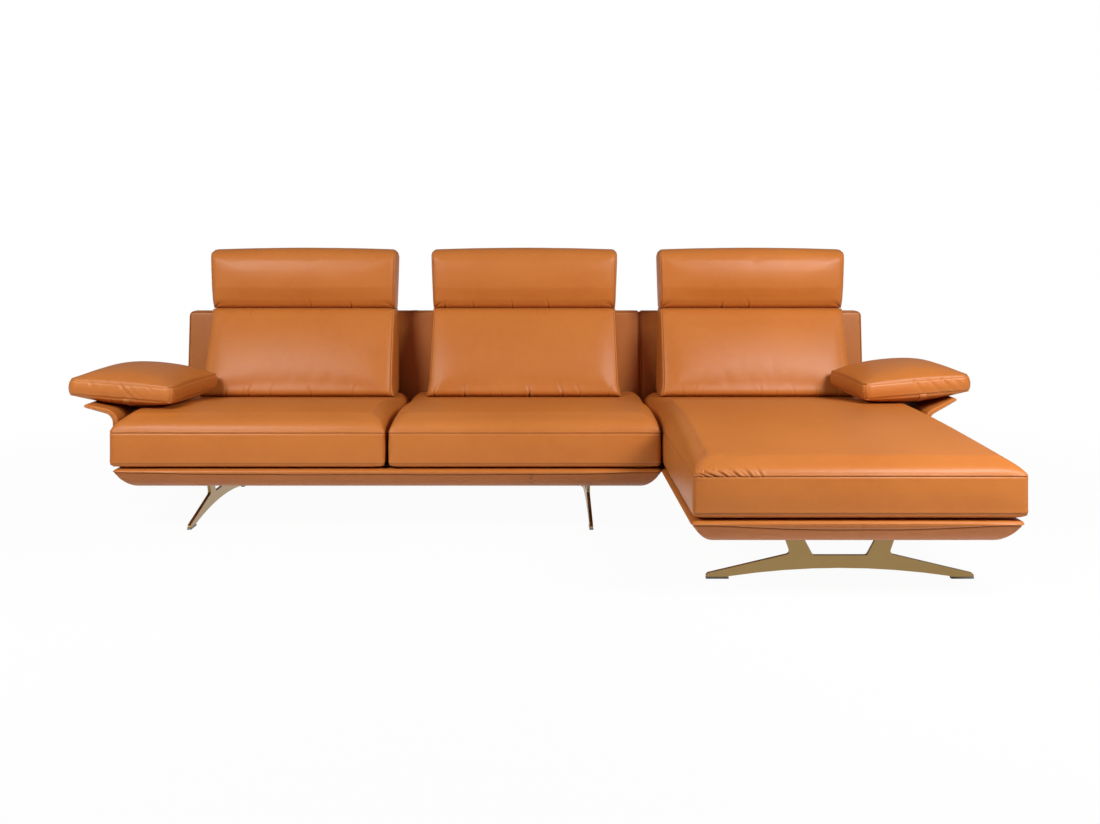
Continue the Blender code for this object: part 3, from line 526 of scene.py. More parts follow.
def make_leather(
    name: str, points: Array, faces: Sequence[Sequence[int]], crease: Array | float, wear: Array | float
) -> bpy.types.Object:
    """Makes a piece of leather.

    Args:
        name: the piece's name.
        points: its places.
        faces: its faces.
        crease: how much painted shade darkens each point, in a seam or a fold.
        wear: how much rubbing and painted highlight lighten each point.

    Returns:
        The piece.
    """
    piece = make_piece(name, points, faces, LEATHER)
    # Painted shade and painted highlight, kept on the mesh for the leather material
    keep_number(piece, "crease", crease)
    keep_number(piece, "wear", wear)
    return piece


def carry(piece: bpy.types.Object, body: str, nodes: Sequence[str] = ()) -> None:
    """Lets a piece ride on a body, and reports it.

    Args:
        piece: the piece.
        body: the body that carries it.
        nodes: the CAD nodes that it stands for.
    """
    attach(piece, body)
    if nodes:
        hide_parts(*nodes)
    LOG.info("%s rides on %s, %d faces", piece.name, body, len(piece.data.polygons))


def node_box(node: str) -> tuple[Array, Array]:
    """Lowest and highest corner of a CAD node as arrays."""
    low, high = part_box(node)
    return np.array(low), np.array(high)


def graded(length: float, step: float, fine: Sequence[float]) -> Array:
    """Line places from 0 to length: close together at both ends, even in between.

    Args:
        length: the length to divide.
        step: the even spacing of the middle.
        fine: distances of the close lines from each end, from 0 upwards.

    Returns:
        The sorted places of the lines.
    """
    near = np.array([x for x in fine if x < length * 0.45])
    count = max(2, round((length - 2 * near[-1]) / step))
    middle = np.linspace(near[-1], length - near[-1], count + 1)[1:-1]
    return np.concatenate([near, middle, length - near[::-1]])


FINE = (0.0, 0.0014, 0.0028, 0.0045, 0.0065, 0.009, 0.0125, 0.017, 0.0225, 0.029)


def spline_weights(coarse: Array, fine: Array) -> Array:
    """Weights that carry values on even lines to other lines by Catmull-Rom interpolation.

    Args:
        coarse: the even lines that hold values.
        fine: the lines that need them.

    Returns:
        A matrix with a row for each fine line and a column for each coarse one.
    """
    count = len(coarse)
    share = (fine - coarse[0]) / (coarse[1] - coarse[0])
    start = np.clip(np.floor(share).astype(int), 0, count - 2)
    f = share - start
    basis = (
        (-f + 2 * f**2 - f**3) / 2,
        (2 - 5 * f**2 + 3 * f**3) / 2,
        (f + 4 * f**2 - 3 * f**3) / 2,
        (-(f**2) + f**3) / 2,
    )
    weights = np.zeros((len(fine), count))
    for offset, part in enumerate(basis):
        np.add.at(weights, (np.arange(len(fine)), np.clip(start + offset - 1, 0, count - 1)), part)
    return weights


def soften(
    points: Array, half: Array, axes: tuple[int, int], radii: tuple[float, float], side: int = 0
) -> Array:
    """Rounds the edges of a box where two axes meet.

    Each corner square with sides s and t from 0 to 1 is carried on to a quarter disc: s times the root of
    1 - t²/2, and t times the root of 1 - s²/2.

    Args:
        points: n by 3 places in a box round the origin.
        half: half the box's sizes.
        axes: the two axes.
        radii: how far the rounding reaches along each of them.
        side: round only where the second axis is on this side, -1 or 1; 0 rounds both.

    Returns:
        The rounded places.
    """
    first, second = axes
    p, q = points[:, first], points[:, second]
    s = np.clip((np.abs(p) - half[first] + radii[0]) / radii[0], 0.0, 1.0)
    t = np.clip((np.abs(q) - half[second] + radii[1]) / radii[1], 0.0, 1.0)
    if side:
        t = np.where(np.sign(q) == side, t, 0.0)
    made = points.copy()
    made[:, first] = np.sign(p) * (np.abs(p) - radii[0] * s * (1 - np.sqrt(1 - t * t / 2)))
    made[:, second] = np.sign(q) * (np.abs(q) - radii[1] * t * (1 - np.sqrt(1 - s * s / 2)))
    return made


def skin_grids(ids: Array) -> list[Array]:
    """The six faces of a block of point numbers."""
    return [ids[0], ids[-1], ids[:, 0], ids[:, -1], ids[:, :, 0], ids[:, :, -1]]


class BoxLattice:
    """The skin of a box, divided by lines along its three axes into one closed mesh of quads."""

    def __init__(self, lines: Sequence[Array]) -> None:
        """Numbers the points on the skin.

        Args:
            lines: for each axis the places of its lines in metres, from 0 upwards.
        """
        self.lines = tuple(lines)
        shape = tuple(len(x) for x in self.lines)
        skin = np.ones(shape, bool)
        skin[1:-1, 1:-1, 1:-1] = False
        self.ids = np.full(shape, -1)
        self.ids[skin] = np.arange(skin.sum())
        self.index = np.argwhere(skin)
        self.span = np.array([x[-1] for x in self.lines])
        self.low = np.stack([x[self.index[:, k]] for k, x in enumerate(self.lines)], axis=1)
        self.high = self.span - self.low
        self.near = np.minimum(self.low, self.high)
        self.share = 2 * self.low / self.span - 1
        self.quads = np.concatenate([self.grid_quads(face) for face in skin_grids(self.ids)])

    @staticmethod
    def grid_quads(grid: Array) -> Array:
        """The quads between the points of a grid."""
        corners = (grid[:-1, :-1], grid[1:, :-1], grid[1:, 1:], grid[:-1, 1:])
        return np.stack([x.ravel() for x in corners], axis=1)

    def on(self, axis: Axis, end: int) -> Array:
        """Which points lie on the face at the low (-1) or high (1) end of an axis."""
        edge = 0 if end < 0 else len(self.lines[axis.value]) - 1
        return self.index[:, axis.value] == edge

    def ring(self, axis: Axis, line: int, inset: int = 0) -> Array:
        """The closed loop of points round an axis.

        Args:
            axis: the axis that the loop goes round.
            line: the number of the line along that axis.
            inset: how many lines in from the edges, on an end face.

        Returns:
            Point numbers in order.
        """
        grid = np.take(self.ids, line, axis=axis.value)
        if inset:
            grid = grid[inset:-inset, inset:-inset]
        return np.concatenate([grid[:-1, 0], grid[-1, :-1], grid[:0:-1, -1], grid[0, :0:-1]])

    def eased(self, values: Array, times: int) -> Array:
        """Values averaged with those of their neighbours, a number of times.

        Args:
            values: n by k values of the points.
            times: how often.

        Returns:
            The eased values.
        """
        links = np.concatenate([self.quads[:, [k, (k + 1) % 4]] for k in range(4)])
        count = np.bincount(links.ravel(), minlength=len(values))[:, None]
        for _ in range(times):
            total = np.zeros_like(values)
            np.add.at(total, links[:, 0], values[links[:, 1]])
            np.add.at(total, links[:, 1], values[links[:, 0]])
            values = (values + total / count) / 2
        return values

    def carried(self, values: Array, finer: "BoxLattice") -> Array:
        """Values carried to a finer lattice of the same box, face by face.

        Args:
            values: n by k values of this lattice's points.
            finer: the other lattice.

        Returns:
            The values of the other lattice's points.
        """
        weights = [spline_weights(own, other) for own, other in zip(self.lines, finer.lines)]
        made = np.zeros((len(finer.index), values.shape[1]))
        for k, (own, other) in enumerate(zip(skin_grids(self.ids), skin_grids(finer.ids))):
            rows, columns = [w for axis, w in enumerate(weights) if axis != k // 2]
            made[other] = np.einsum("ai,ijk,bj->abk", rows, values[own], columns, optimize=True)
        return made


def unit(vectors: Array, least: float = TINY) -> Array:
    """Vectors brought to a length of 1, where they are longer than the least length."""
    return vectors / np.maximum(np.linalg.norm(vectors, axis=1, keepdims=True), least)


def turned_out(points: Array, quads: Array) -> Array:
    """Unit normals of the points of a closed mesh: the sum of their faces' normals, turned outwards.

    Args:
        points: n by 3 places.
        quads: the faces.

    Returns:
        A unit vector for each point.
    """
    across = np.cross(points[quads[:, 2]] - points[quads[:, 0]], points[quads[:, 3]] - points[quads[:, 1]])
    middle = points.mean(axis=0)
    sides = np.sign(np.einsum("ij,ij->i", across, points[quads].mean(axis=1) - middle))
    across *= np.where(sides < 0, -1.0, 1.0)[:, None]
    made = np.zeros_like(points)
    for corner in range(4):
        for k in range(3):
            made[:, k] += np.bincount(quads[:, corner], across[:, k], len(points))
    return unit(made, NO_AREA)


def bell(distance: Array, width: Array | float) -> Array:
    """A bell curve: 1 at distance 0, and 0.37 at one width."""
    return np.exp(-((distance / width) ** 2))


@dataclass(frozen=True)
class Stuffing:
    """How the cloth simulation blows up a cover."""

    pressure: float = 4.0
    growth: float = 0.005
    stiffness: float = 16.0
    shear: float = 0.4
    bending: float = 2.0
    damping: float = 8.0
    mass: float = 0.35
    quality: int = 5
    frames: int = 20

    def swell(self, points: Array, quads: Array, held: Array) -> Array:
        """Runs Blender's cloth on a closed cover with pressure inside and no gravity.

        Args:
            points: the cover at rest.
            quads: its faces.
            held: which points are sewn down and don't move.

        Returns:
            How far each point has moved at the last frame.
        """
        scene = bpy.context.scene
        form = make_piece("stuffing_form", points, quads, LEATHER)
        group = form.vertex_groups.new(name="held")
        group.add(np.flatnonzero(held).tolist(), 1.0, "REPLACE")
        cloth = form.modifiers.new("stuffing", "CLOTH")
        settings = cloth.settings
        settings.quality = self.quality
        settings.mass = self.mass
        settings.tension_stiffness = self.stiffness
        settings.compression_stiffness = self.stiffness
        settings.shear_stiffness = self.stiffness * self.shear
        settings.bending_stiffness = self.bending
        settings.tension_damping = self.damping
        settings.compression_damping = self.damping
        settings.shear_damping = self.damping
        settings.use_pressure = True
        settings.uniform_pressure_force = self.pressure
        settings.shrink_min = -self.growth
        settings.effector_weights.gravity = 0.0
        settings.vertex_group_mass = "held"
        cloth.collision_settings.use_collision = False
        cloth.point_cache.frame_start = 1
        cloth.point_cache.frame_end = self.frames
        for number in range(1, self.frames + 1):
            scene.frame_set(number)
        shown = form.evaluated_get(bpy.context.evaluated_depsgraph_get())
        moved = np.empty(len(points) * 3, np.float32)
        shown.data.vertices.foreach_get("co", moved)
        bpy.data.objects.remove(form)
        scene.frame_set(1)
        return moved.reshape(-1, 3).astype(float) - points


@dataclass(frozen=True)
class Fold:
    """One small fold that runs out from a seam."""

    place: float
    depth: float
    length: float
    width: float
    lean: float
    start: float = 0.0
    widening: float = 0.14

    def sink(self, along: Array, away: Array) -> Array:
        """How far the cover sinks in the fold.

        It is a narrow valley between two low ridges that widens and fades away from its start: depth times a
        bell across it less a wider, lower bell, times a bell of the distance over its length.

        Args:
            along: each point's place along the seam.
            away: each point's distance from the seam.

        Returns:
            The depth at each point; below 0 on the ridges.
        """
        run = away - self.start
        across = along - self.place - self.lean * run
        spread = self.width + self.widening * np.abs(run)
        valley = bell(across, spread) - 0.45 * bell(across, 2.2 * spread)
        return self.depth * valley * bell(run, self.length)


@dataclass(frozen=True)
class Gathers:
    """A row of small folds along a seam, each a little different."""

    spacing: float
    depth: float
    length: float
    width: float
    seed: int
    lean: float = 0.25
    jitter: float = 0.35

    def sink(self, along: Array, away: Array) -> Array:
        """How far the cover sinks in all of the folds.

        The folds stand at even places along the seam. Each one is shifted, made shallower, shortened or
        lengthened, and leant by random shares.

        Args:
            along: each point's place along the seam.
            away: each point's distance from the seam.

        Returns:
            The depth at each point.
        """
        random = np.random.default_rng(self.seed)
        least, most = (-self.jitter, 0.2, 0.5, -1.0), (self.jitter, 1.0, 1.25, 1.0)
        low, high = along.min(), along.max()
        count = max(1, int((high - low) / self.spacing))
        made = np.zeros(len(along))
        near = away < 3 * self.length
        for number in range(count):
            shift, deep, long, lean = random.uniform(least, most)
            place = low + (number + 0.5) * (high - low) / count + shift * self.spacing
            fold = Fold(place, self.depth * deep**1.3, self.length * long, self.width, self.lean * lean)
            made[near] += fold.sink(along[near], away[near])
        return made


def corner_fold(
    inward: Array, upward: Array, slope_deg: float, depth: float, length: float, width: float
) -> Array:
    """How far the cover sinks in one fold that starts at a corner.

    The fold is a straight valley at a slope: a bell across it less a wider, lower bell, times a bell along
    it that starts at the corner.

    Args:
        inward: each point's distance from the corner along the seam.
        upward: each point's distance from the corner across the seam.
        slope_deg: the fold's direction, from the seam.
        depth: the depth at the corner.
        length: where it has mostly faded.
        width: its half width at the corner.

    Returns:
        The depth at each point.
    """
    turn = math.radians(slope_deg)
    along = inward * math.cos(turn) + upward * math.sin(turn)
    across = upward * math.cos(turn) - inward * math.sin(turn)
    spread = width + 0.12 * np.maximum(along, 0.0)
    valley = bell(across, spread) - 0.4 * bell(across, 2.1 * spread)
    return depth * valley * bell(along, length)


@dataclass(frozen=True)
class Stitches:
    """A row of sewing stitches: short tapered threads, end to end."""

    pitch: float = 0.0075
    length: float = 0.0058
    width: float = 0.0006
    sides: int = 5

    def along(self, path: Array, out: Array) -> tuple[Array, list[list[int]]]:
        """Lays stitches on a closed path.

        A stitch is two rings of points between two tips, in the frame of the path's direction, the surface's
        normal and the direction across both.

        Args:
            path: the closed path's points.
            out: the surface's normals there.

        Returns:
            The points and the faces of all stitches.
        """
        closed = np.vstack([path, path[:1]])
        steps = np.linalg.norm(np.diff(closed, axis=0), axis=1)
        run = np.concatenate([[0.0], np.cumsum(steps)])
        count = int(run[-1] / self.pitch)
        middle = (np.arange(count) + 0.5) * run[-1] / count

        def at(values: Array, where: Array) -> Array:
            """Values of the path at these run lengths."""
            return np.stack([np.interp(where % run[-1], run, values[:, k]) for k in range(3)], axis=1)

        normals = at(np.vstack([out, out[:1]]), middle)
        ends = at(closed, middle + self.length / 2) - at(closed, middle - self.length / 2)
        ahead = unit(ends)
        beside = np.cross(ahead, normals)
        angles = 2 * np.pi * np.arange(self.sides) / self.sides
        ring = np.stack([np.cos(angles), np.sin(angles)], axis=1) * self.width
        places = [(-0.5, 0.0, 0.0)]
        places += [(share, x, y) for share in (-0.32, 0.32) for x, y in ring]
        places += [(0.5, 0.0, 0.0)]
        local = np.array(places)
        points = (
            at(closed, middle)[:, None]
            + ahead[:, None] * (local[:, 0] * self.length)[None, :, None]
            + beside[:, None] * local[None, :, 1:2]
            + normals[:, None] * (local[None, :, 2:3] + self.width * 0.35)
        )
        n = self.sides
        faces = []
        for i in range(n):
            j = (i + 1) % n
            near, far = (1 + i, 1 + j), (1 + n + i, 1 + n + j)
            faces += [[0, near[1], near[0]], [*near, far[1], far[0]], [*far, 1 + 2 * n]]
        starts = range(0, count * len(local), len(local))
        return points.reshape(-1, 3), [[k + start for k in face] for start in starts for face in faces]


def sleeve_faces(rows: int, count: int) -> list[list[int]]:
    """The faces of a sleeve of closed rings, one after another, with a cap on its first and its last ring.

    Args:
        rows: how many rings there are.
        count: points on each ring.

    Returns:
        The corners of each face.
    """
    i, j = np.meshgrid(np.arange(rows - 1), np.arange(count), indexing="ij")
    k = (j + 1) % count
    corners = (i * count + j, i * count + k, (i + 1) * count + k, (i + 1) * count + j)
    quads = np.stack([x.ravel() for x in corners], axis=1).tolist()
    return quads + [list(range(count))[::-1], list(range((rows - 1) * count, rows * count))]


def tube(path: Array, out: Array, radius: float, sides: int = 8) -> tuple[Array, list[list[int]]]:
    """A round cord carried along an open path: a circle in the plane of the normal and the direction across.

    Args:
        path: points of the path.
        out: unit vectors that stay across the path.
        radius: the cord's radius.
        sides: points round the cord.

    Returns:
        The points and the faces.
    """
    ahead = unit(np.gradient(path, axis=0))
    beside = unit(np.cross(ahead, out))
    upward = np.cross(beside, ahead)
    angles = 2 * np.pi * np.arange(sides) / sides
    points = path[:, None] + radius * (
        np.cos(angles)[None, :, None] * upward[:, None] + np.sin(angles)[None, :, None] * beside[:, None]
    )
    return points.reshape(-1, 3), sleeve_faces(len(path), sides)


# Pads


@dataclass
class Pad:
    """A stuffed leather cushion that stands for one CAD node.

    A box of cloth is given its form and blown up by the cloth simulation, where the foam under it gives way
    only a little. It is carried to a finer mesh and then sewn: seams sink, gathers run out from them, and
    stitches follow them.
    """

    node: str
    body: str
    seed: int
    fill: float = 0.7
    coarse: float = 0.014
    step: float = 0.008
    cap: float = 0.016
    side_cap: float = 0.003
    ease: int = 3
    give: float = 0.12
    stitch_inset: int = 0
    stuffing: Stuffing = Stuffing()
    low: Array = field(init=False)
    high: Array = field(init=False)

    def __post_init__(self) -> None:
        """Reads the node's box."""
        self.low, self.high = node_box(self.node)

    @property
    def size(self) -> Array:
        """The CAD box's sizes."""
        return self.high - self.low

    def spans(self) -> Triple:
        """How much cloth there is along each axis, in metres."""
        raise NotImplementedError

    def fine_lines(self) -> list[Array]:
        """The lines of the finished mesh."""
        return [graded(span, self.step, FINE) for span in self.spans()]

    def coarse_lines(self) -> list[Array]:
        """Even lines for the simulation."""
        return [np.linspace(0.0, span, max(4, round(span / self.coarse)) + 1) for span in self.spans()]

    def form(self, lattice: BoxLattice, slack: float) -> Array:
        """Places of a lattice's points. Slack 1 gives the form before it is stuffed, 0 the full form."""
        raise NotImplementedError

    def held(self, lattice: BoxLattice) -> Array:
        """Which points are sewn or glued down."""
        raise NotImplementedError

    def caps(self, lattice: BoxLattice) -> Array:
        """How far each point may swell."""
        raise NotImplementedError

    def sewing(self, lattice: BoxLattice) -> tuple[Array, Array, Array]:
        """How far each point rises, how much painted shade darkens it, and how much rubbing and painted
        highlight lighten it.
        """
        raise NotImplementedError

    def kept_clear(self, lattice: BoxLattice, points: Array) -> Array:
        """The points, held clear of the neighbours."""
        return points

    def build(self) -> bpy.types.Object:
        """Makes the cushion and its stitches.

        Returns:
            The cushion.
        """
        fine = BoxLattice(self.fine_lines())
        points = self.form(fine, 1.0)
        rough = BoxLattice(self.coarse_lines())
        start = self.form(rough, 1.0)
        moved = self.stuffing.swell(start, rough.quads, self.held(rough))
        out = turned_out(start, rough.quads)
        inward = np.minimum((moved * out).sum(axis=1, keepdims=True), 0.0)
        moved -= (1.0 - self.give) * inward * out
        reach = np.maximum(np.linalg.norm(moved, axis=1, keepdims=True), TINY)
        cap = np.maximum(self.caps(rough), TOUCH)[:, None]
        moved *= cap * np.tanh(reach / cap) / reach
        points = points + rough.carried(rough.eased(moved, self.ease), fine)
        rise, crease, wear = self.sewing(fine)
        points = points + turned_out(points, fine.quads) * rise[:, None]
        points = self.kept_clear(fine, points)
        piece = make_leather(f"leather_{self.node}", points, fine.quads, crease, wear)
        carry(piece, self.body, [self.node])
        self.stitch(fine, points)
        return piece

    def stitch(self, lattice: BoxLattice, points: Array) -> None:
        """Lays a row of stitches round the top panel, some lines inside its seam.

        Args:
            lattice: the cover's mesh.
            points: the finished cover's places.
        """
        if self.stitch_inset:
            ring = lattice.ring(Axis.HEIGHT, -1, self.stitch_inset)
            out = turned_out(points, lattice.quads)
            made = make_piece(f"stitches_{self.node}", *Stitches().along(points[ring], out[ring]), THREAD)
            carry(made, self.body)


def seam_rise(distance: Array, depth: float = 0.0020, roll: float = 0.0008) -> Array:
    """The section of a felled seam: a narrow groove, and a low roll of doubled leather at each side."""
    return roll * bell(distance - 0.0060, 0.0036) - depth * bell(distance, 0.0018)


@dataclass
class SeatCushion(Pad):
    """A boxed seat cushion whose crown is round behind its top seam.

    The crown is its height at the front, its full height and how far back that is.
    """

    stitch_inset: int = 3
    backrest: str = ""
    pillow: "ArmPillow | None" = None
    crown: Triple = (0.050, 0.070, 0.250)
    crown_rear: float = 0.052
    runs: tuple[float, float] = (0.070, 0.095)
    roundness: float = 2.9
    seam_low: float = 0.014
    boxing: float = 0.105
    tuck: float = 0.020
    upright_at: float = 0.009
    line_step: float = 0.0028
    corner: float = 0.011
    draw_in: float = 0.0012
    corner_pinch: float = 0.010
    slack_crown: float = 0.002
    slack_side: float = 0.001
    front_cap: float = 0.005
    swollen: tuple[float, float] = (0.0, 0.0)
    folds: tuple[Fold, ...] = ()
    cross_seam: float | None = None
    close_lines: float = 0.0

    @property
    def seam_run(self) -> float:
        """How much cloth there is from the bottom to the lower seam."""
        return self.tuck * 1.25

    def spans(self) -> Triple:
        """Over the crown the cloth is longer than the plan by the arc less the run, at each end."""
        spare = [run * (math.pi - 2.0) for run in self.runs]
        return self.size[0] + spare[0], self.size[1] + spare[1], self.seam_run + self.boxing

    def fine_lines(self) -> list[Array]:
        """Lines close to the top seam, the bottom seam and the corners, and where the folds are.

        Returns:
            The lines along each axis.
        """
        across, depth, height = self.spans()
        low = np.linspace(0.0, self.seam_run, 6)[:-1]
        high = self.seam_run + graded(height - self.seam_run, 0.009, FINE[:7])
        close = (*FINE, *np.arange(FINE[-1] + self.line_step, self.close_lines, self.line_step))
        lines = [graded(across, self.step, close), graded(depth, self.step, FINE)]
        return [*lines, np.concatenate([low, high])]

    def plan(self, lattice: BoxLattice, axis: Axis) -> tuple[Array, Array]:
        """Distance from the nearer side in plan, and the swell there.

        The section is a quarter of a superellipse: with e as 2 over the roundness, the plan distance is the
        crown's run times 1 - cos^e of the turn, and the swell is sin^e of the turn. Past it the top is
        level.

        Args:
            lattice: the cover's mesh.
            axis: the axis across the side.

        Returns:
            The distance and the swell of each point.
        """
        run, near = self.runs[axis.value], lattice.near[:, axis.value]
        turn = np.minimum(near / run, math.pi / 2)
        power = 2.0 / self.roundness
        distance = run * (1 - np.cos(turn) ** power) + np.maximum(near - run * math.pi / 2, 0.0)
        return distance, np.sin(turn) ** power

    def crown_at(self, y: Array) -> Array:
        """The crown's height: a quarter sine up from the front, then half a cosine down to the backrest.

        Args:
            y: places along Y.

        Returns:
            The height above the top seam.
        """
        front, full, rise = self.crown
        peak, foot = self.low[1] + rise, node_box(self.backrest)[0][1]
        up = np.sin(np.clip((y - self.low[1]) / rise, 0.0, 1.0) * math.pi / 2)
        down = (1 - np.cos(np.clip((y - peak) / (foot - peak), 0.0, 1.0) * math.pi)) / 2
        return front + (full - front) * up + (self.crown_rear - full) * down

    def form(self, lattice: BoxLattice, slack: float) -> Array:
        """A rounded plan, sides that bow in between the corners, and a top that rises by both swells.

        Args:
            lattice: the cover's mesh.
            slack: 1 before it is stuffed, 0 when it is full.

        Returns:
            The points' places.
        """
        half = self.size / 2
        middle = (self.low + self.high) / 2
        side_x, swell_x = self.plan(lattice, Axis.ACROSS)
        side_y, swell_y = self.plan(lattice, Axis.DEPTH)
        sign = np.sign(lattice.share)
        level = (sign[:, 0] * (half[0] - side_x), sign[:, 1] * (half[1] - side_y), 0 * side_x)
        flat = soften(np.stack(level, axis=1), half, (0, 1), (self.corner, self.corner))
        u, v = flat[:, 0] / half[0], flat[:, 1] / half[1]
        height = lattice.low[:, 2]
        turn = np.clip(height / self.seam_run, 0.0, 1.0) * math.pi / 2
        inset = self.tuck * (1 - np.sin(turn)) + slack * self.slack_side * np.sin(turn)
        pinch = self.corner_pinch * (np.abs(u * v) ** 40) * (1 - np.sin(turn))
        inset = inset + pinch
        inset_x, inset_y = inset + self.draw_in * (1 - v**2), inset + self.draw_in * (1 - u**2)
        x = middle[0] + flat[:, 0] * (1 - inset_x / half[0])
        y = middle[1] + flat[:, 1] * (1 - inset_y / half[1])
        z = self.low[2] + self.seam_low * (1 - np.cos(turn)) + np.maximum(height - self.seam_run, 0.0)
        on_top = lattice.on(Axis.HEIGHT, 1)
        crown = self.crown_at(y) - slack * self.slack_crown
        left, right = self.swollen
        full = np.where(u < 0, -left, right) * np.clip((np.abs(u) - 0.86) / 0.14, 0.0, 1.0) ** 2
        x = x + full * bell(y - self.low[1] - 0.012, 0.045) * np.sin(turn)
        return np.stack([x, y, np.where(on_top, z + crown * swell_x * swell_y, z)], axis=1)

    def held(self, lattice: BoxLattice) -> Array:
        """The bottom and the two seams are held."""
        rim = lattice.on(Axis.HEIGHT, 1) & (lattice.near[:, :2].min(axis=1) < TOUCH)
        return (lattice.low[:, 2] < self.tuck * 1.3) | rim

    def caps(self, lattice: BoxLattice) -> Array:
        """The top swells most and the front some; the sides only a little, beside their neighbours."""
        sides = np.where(lattice.on(Axis.DEPTH, -1), self.front_cap, self.side_cap)
        return np.where(lattice.on(Axis.HEIGHT, 1), self.cap, sides)

    def sewing(self, lattice: BoxLattice) -> tuple[Array, Array, Array]:
        """Grooves at the top seam, the bottom seam and the upright seams, and the folds at the front.

        Args:
            lattice: the cover's mesh.

        Returns:
            How far each point rises, how much painted shade darkens it, and how much rubbing and painted
            highlight lighten it.
        """
        inward, along = lattice.near[:, :2].min(axis=1), lattice.low[:, 0]
        top, bottom = lattice.on(Axis.HEIGHT, 1), lattice.on(Axis.HEIGHT, -1)
        rim = lattice.high[:, 2] + inward
        foot = np.abs(lattice.low[:, 2] - self.seam_run) + np.where(bottom, FAR, 0.0)
        boxed = ~top & ~bottom & (lattice.low[:, 2] > self.seam_run)
        ends = boxed & (lattice.near[:, 1] < TOUCH)
        upright = np.where(ends, np.abs(lattice.near[:, 0] - self.upright_at), FAR)
        rise = seam_rise(rim, depth=0.0016, roll=0.0006)
        rise = rise + seam_rise(foot, depth=0.0016, roll=0.0005)
        rise = rise + seam_rise(upright, depth=0.0011, roll=0.0004)
        front = np.where(top, lattice.low[:, 1], FAR)
        drawn = Gathers(spacing=0.120, depth=0.0016, length=0.022, width=0.0060, seed=self.seed, lean=0.9)
        sunk = drawn.sink(along, front)
        for fold in self.folds:
            sunk = sunk + fold.sink(along, front)
        down = np.where(ends, lattice.high[:, 2], FAR)
        waves = Gathers(
            spacing=0.190, depth=0.0008, length=0.050, width=0.0110, seed=self.seed + 2, lean=0.6
        )
        rise = rise - sunk - waves.sink(along, down)
        if self.cross_seam is not None:
            y = self.low[1] + lattice.low[:, 1] - (lattice.span[1] - self.size[1]) / 2
            groove = seam_rise(y - self.cross_seam, depth=0.0012, roll=0.0005)
            rise = rise + np.where(top & (inward > 0.03), groove, 0.0)
        # Painted shade: darker in the seam grooves and the fold valleys
        crease = 0.66 * bell(rim, 0.0014) + 0.60 * bell(foot, 0.0015) + 0.55 * bell(upright, 0.0013)
        crease = crease + np.clip(sunk * 70, 0.0, 0.30)
        # Painted highlight, with a little rubbed-edge colour: lighter on the rolls beside the seams and on
        # the fold ridges
        wear = np.where(top, 0.05, 0.30) * bell(rim - 0.0042, 0.0030) + 0.25 * bell(upright - 0.004, 0.003)
        wear = wear + np.clip(-sunk * 220, 0.0, 0.45)
        return rise, crease, wear + 0.25 * bell(foot - 0.004, 0.003)

    def kept_clear(self, lattice: BoxLattice, points: Array) -> Array:
        """Under the backrest the top stays below the CAD's own top, and the arm pillow dents it.

        Args:
            lattice: the cover's mesh.
            points: the stuffed cover's places.

        Returns:
            The places that are kept.
        """
        full = self.form(lattice, 0.0)
        low, high = node_box(self.backrest)
        outside = np.maximum(np.maximum(low[:2] - points[:, :2], points[:, :2] - high[:2]).max(axis=1), 0.0)
        limit = full[:, 2] + 0.005 * np.clip(outside / 0.08, 0.0, 1.0) - 0.0008
        if self.pillow is not None:
            limit = np.minimum(limit, self.pillow.underside(points) - 0.0010)
        made = points.copy()
        made[:, 2] = np.where(lattice.on(Axis.HEIGHT, 1), np.minimum(points[:, 2], limit), points[:, 2])
        return made


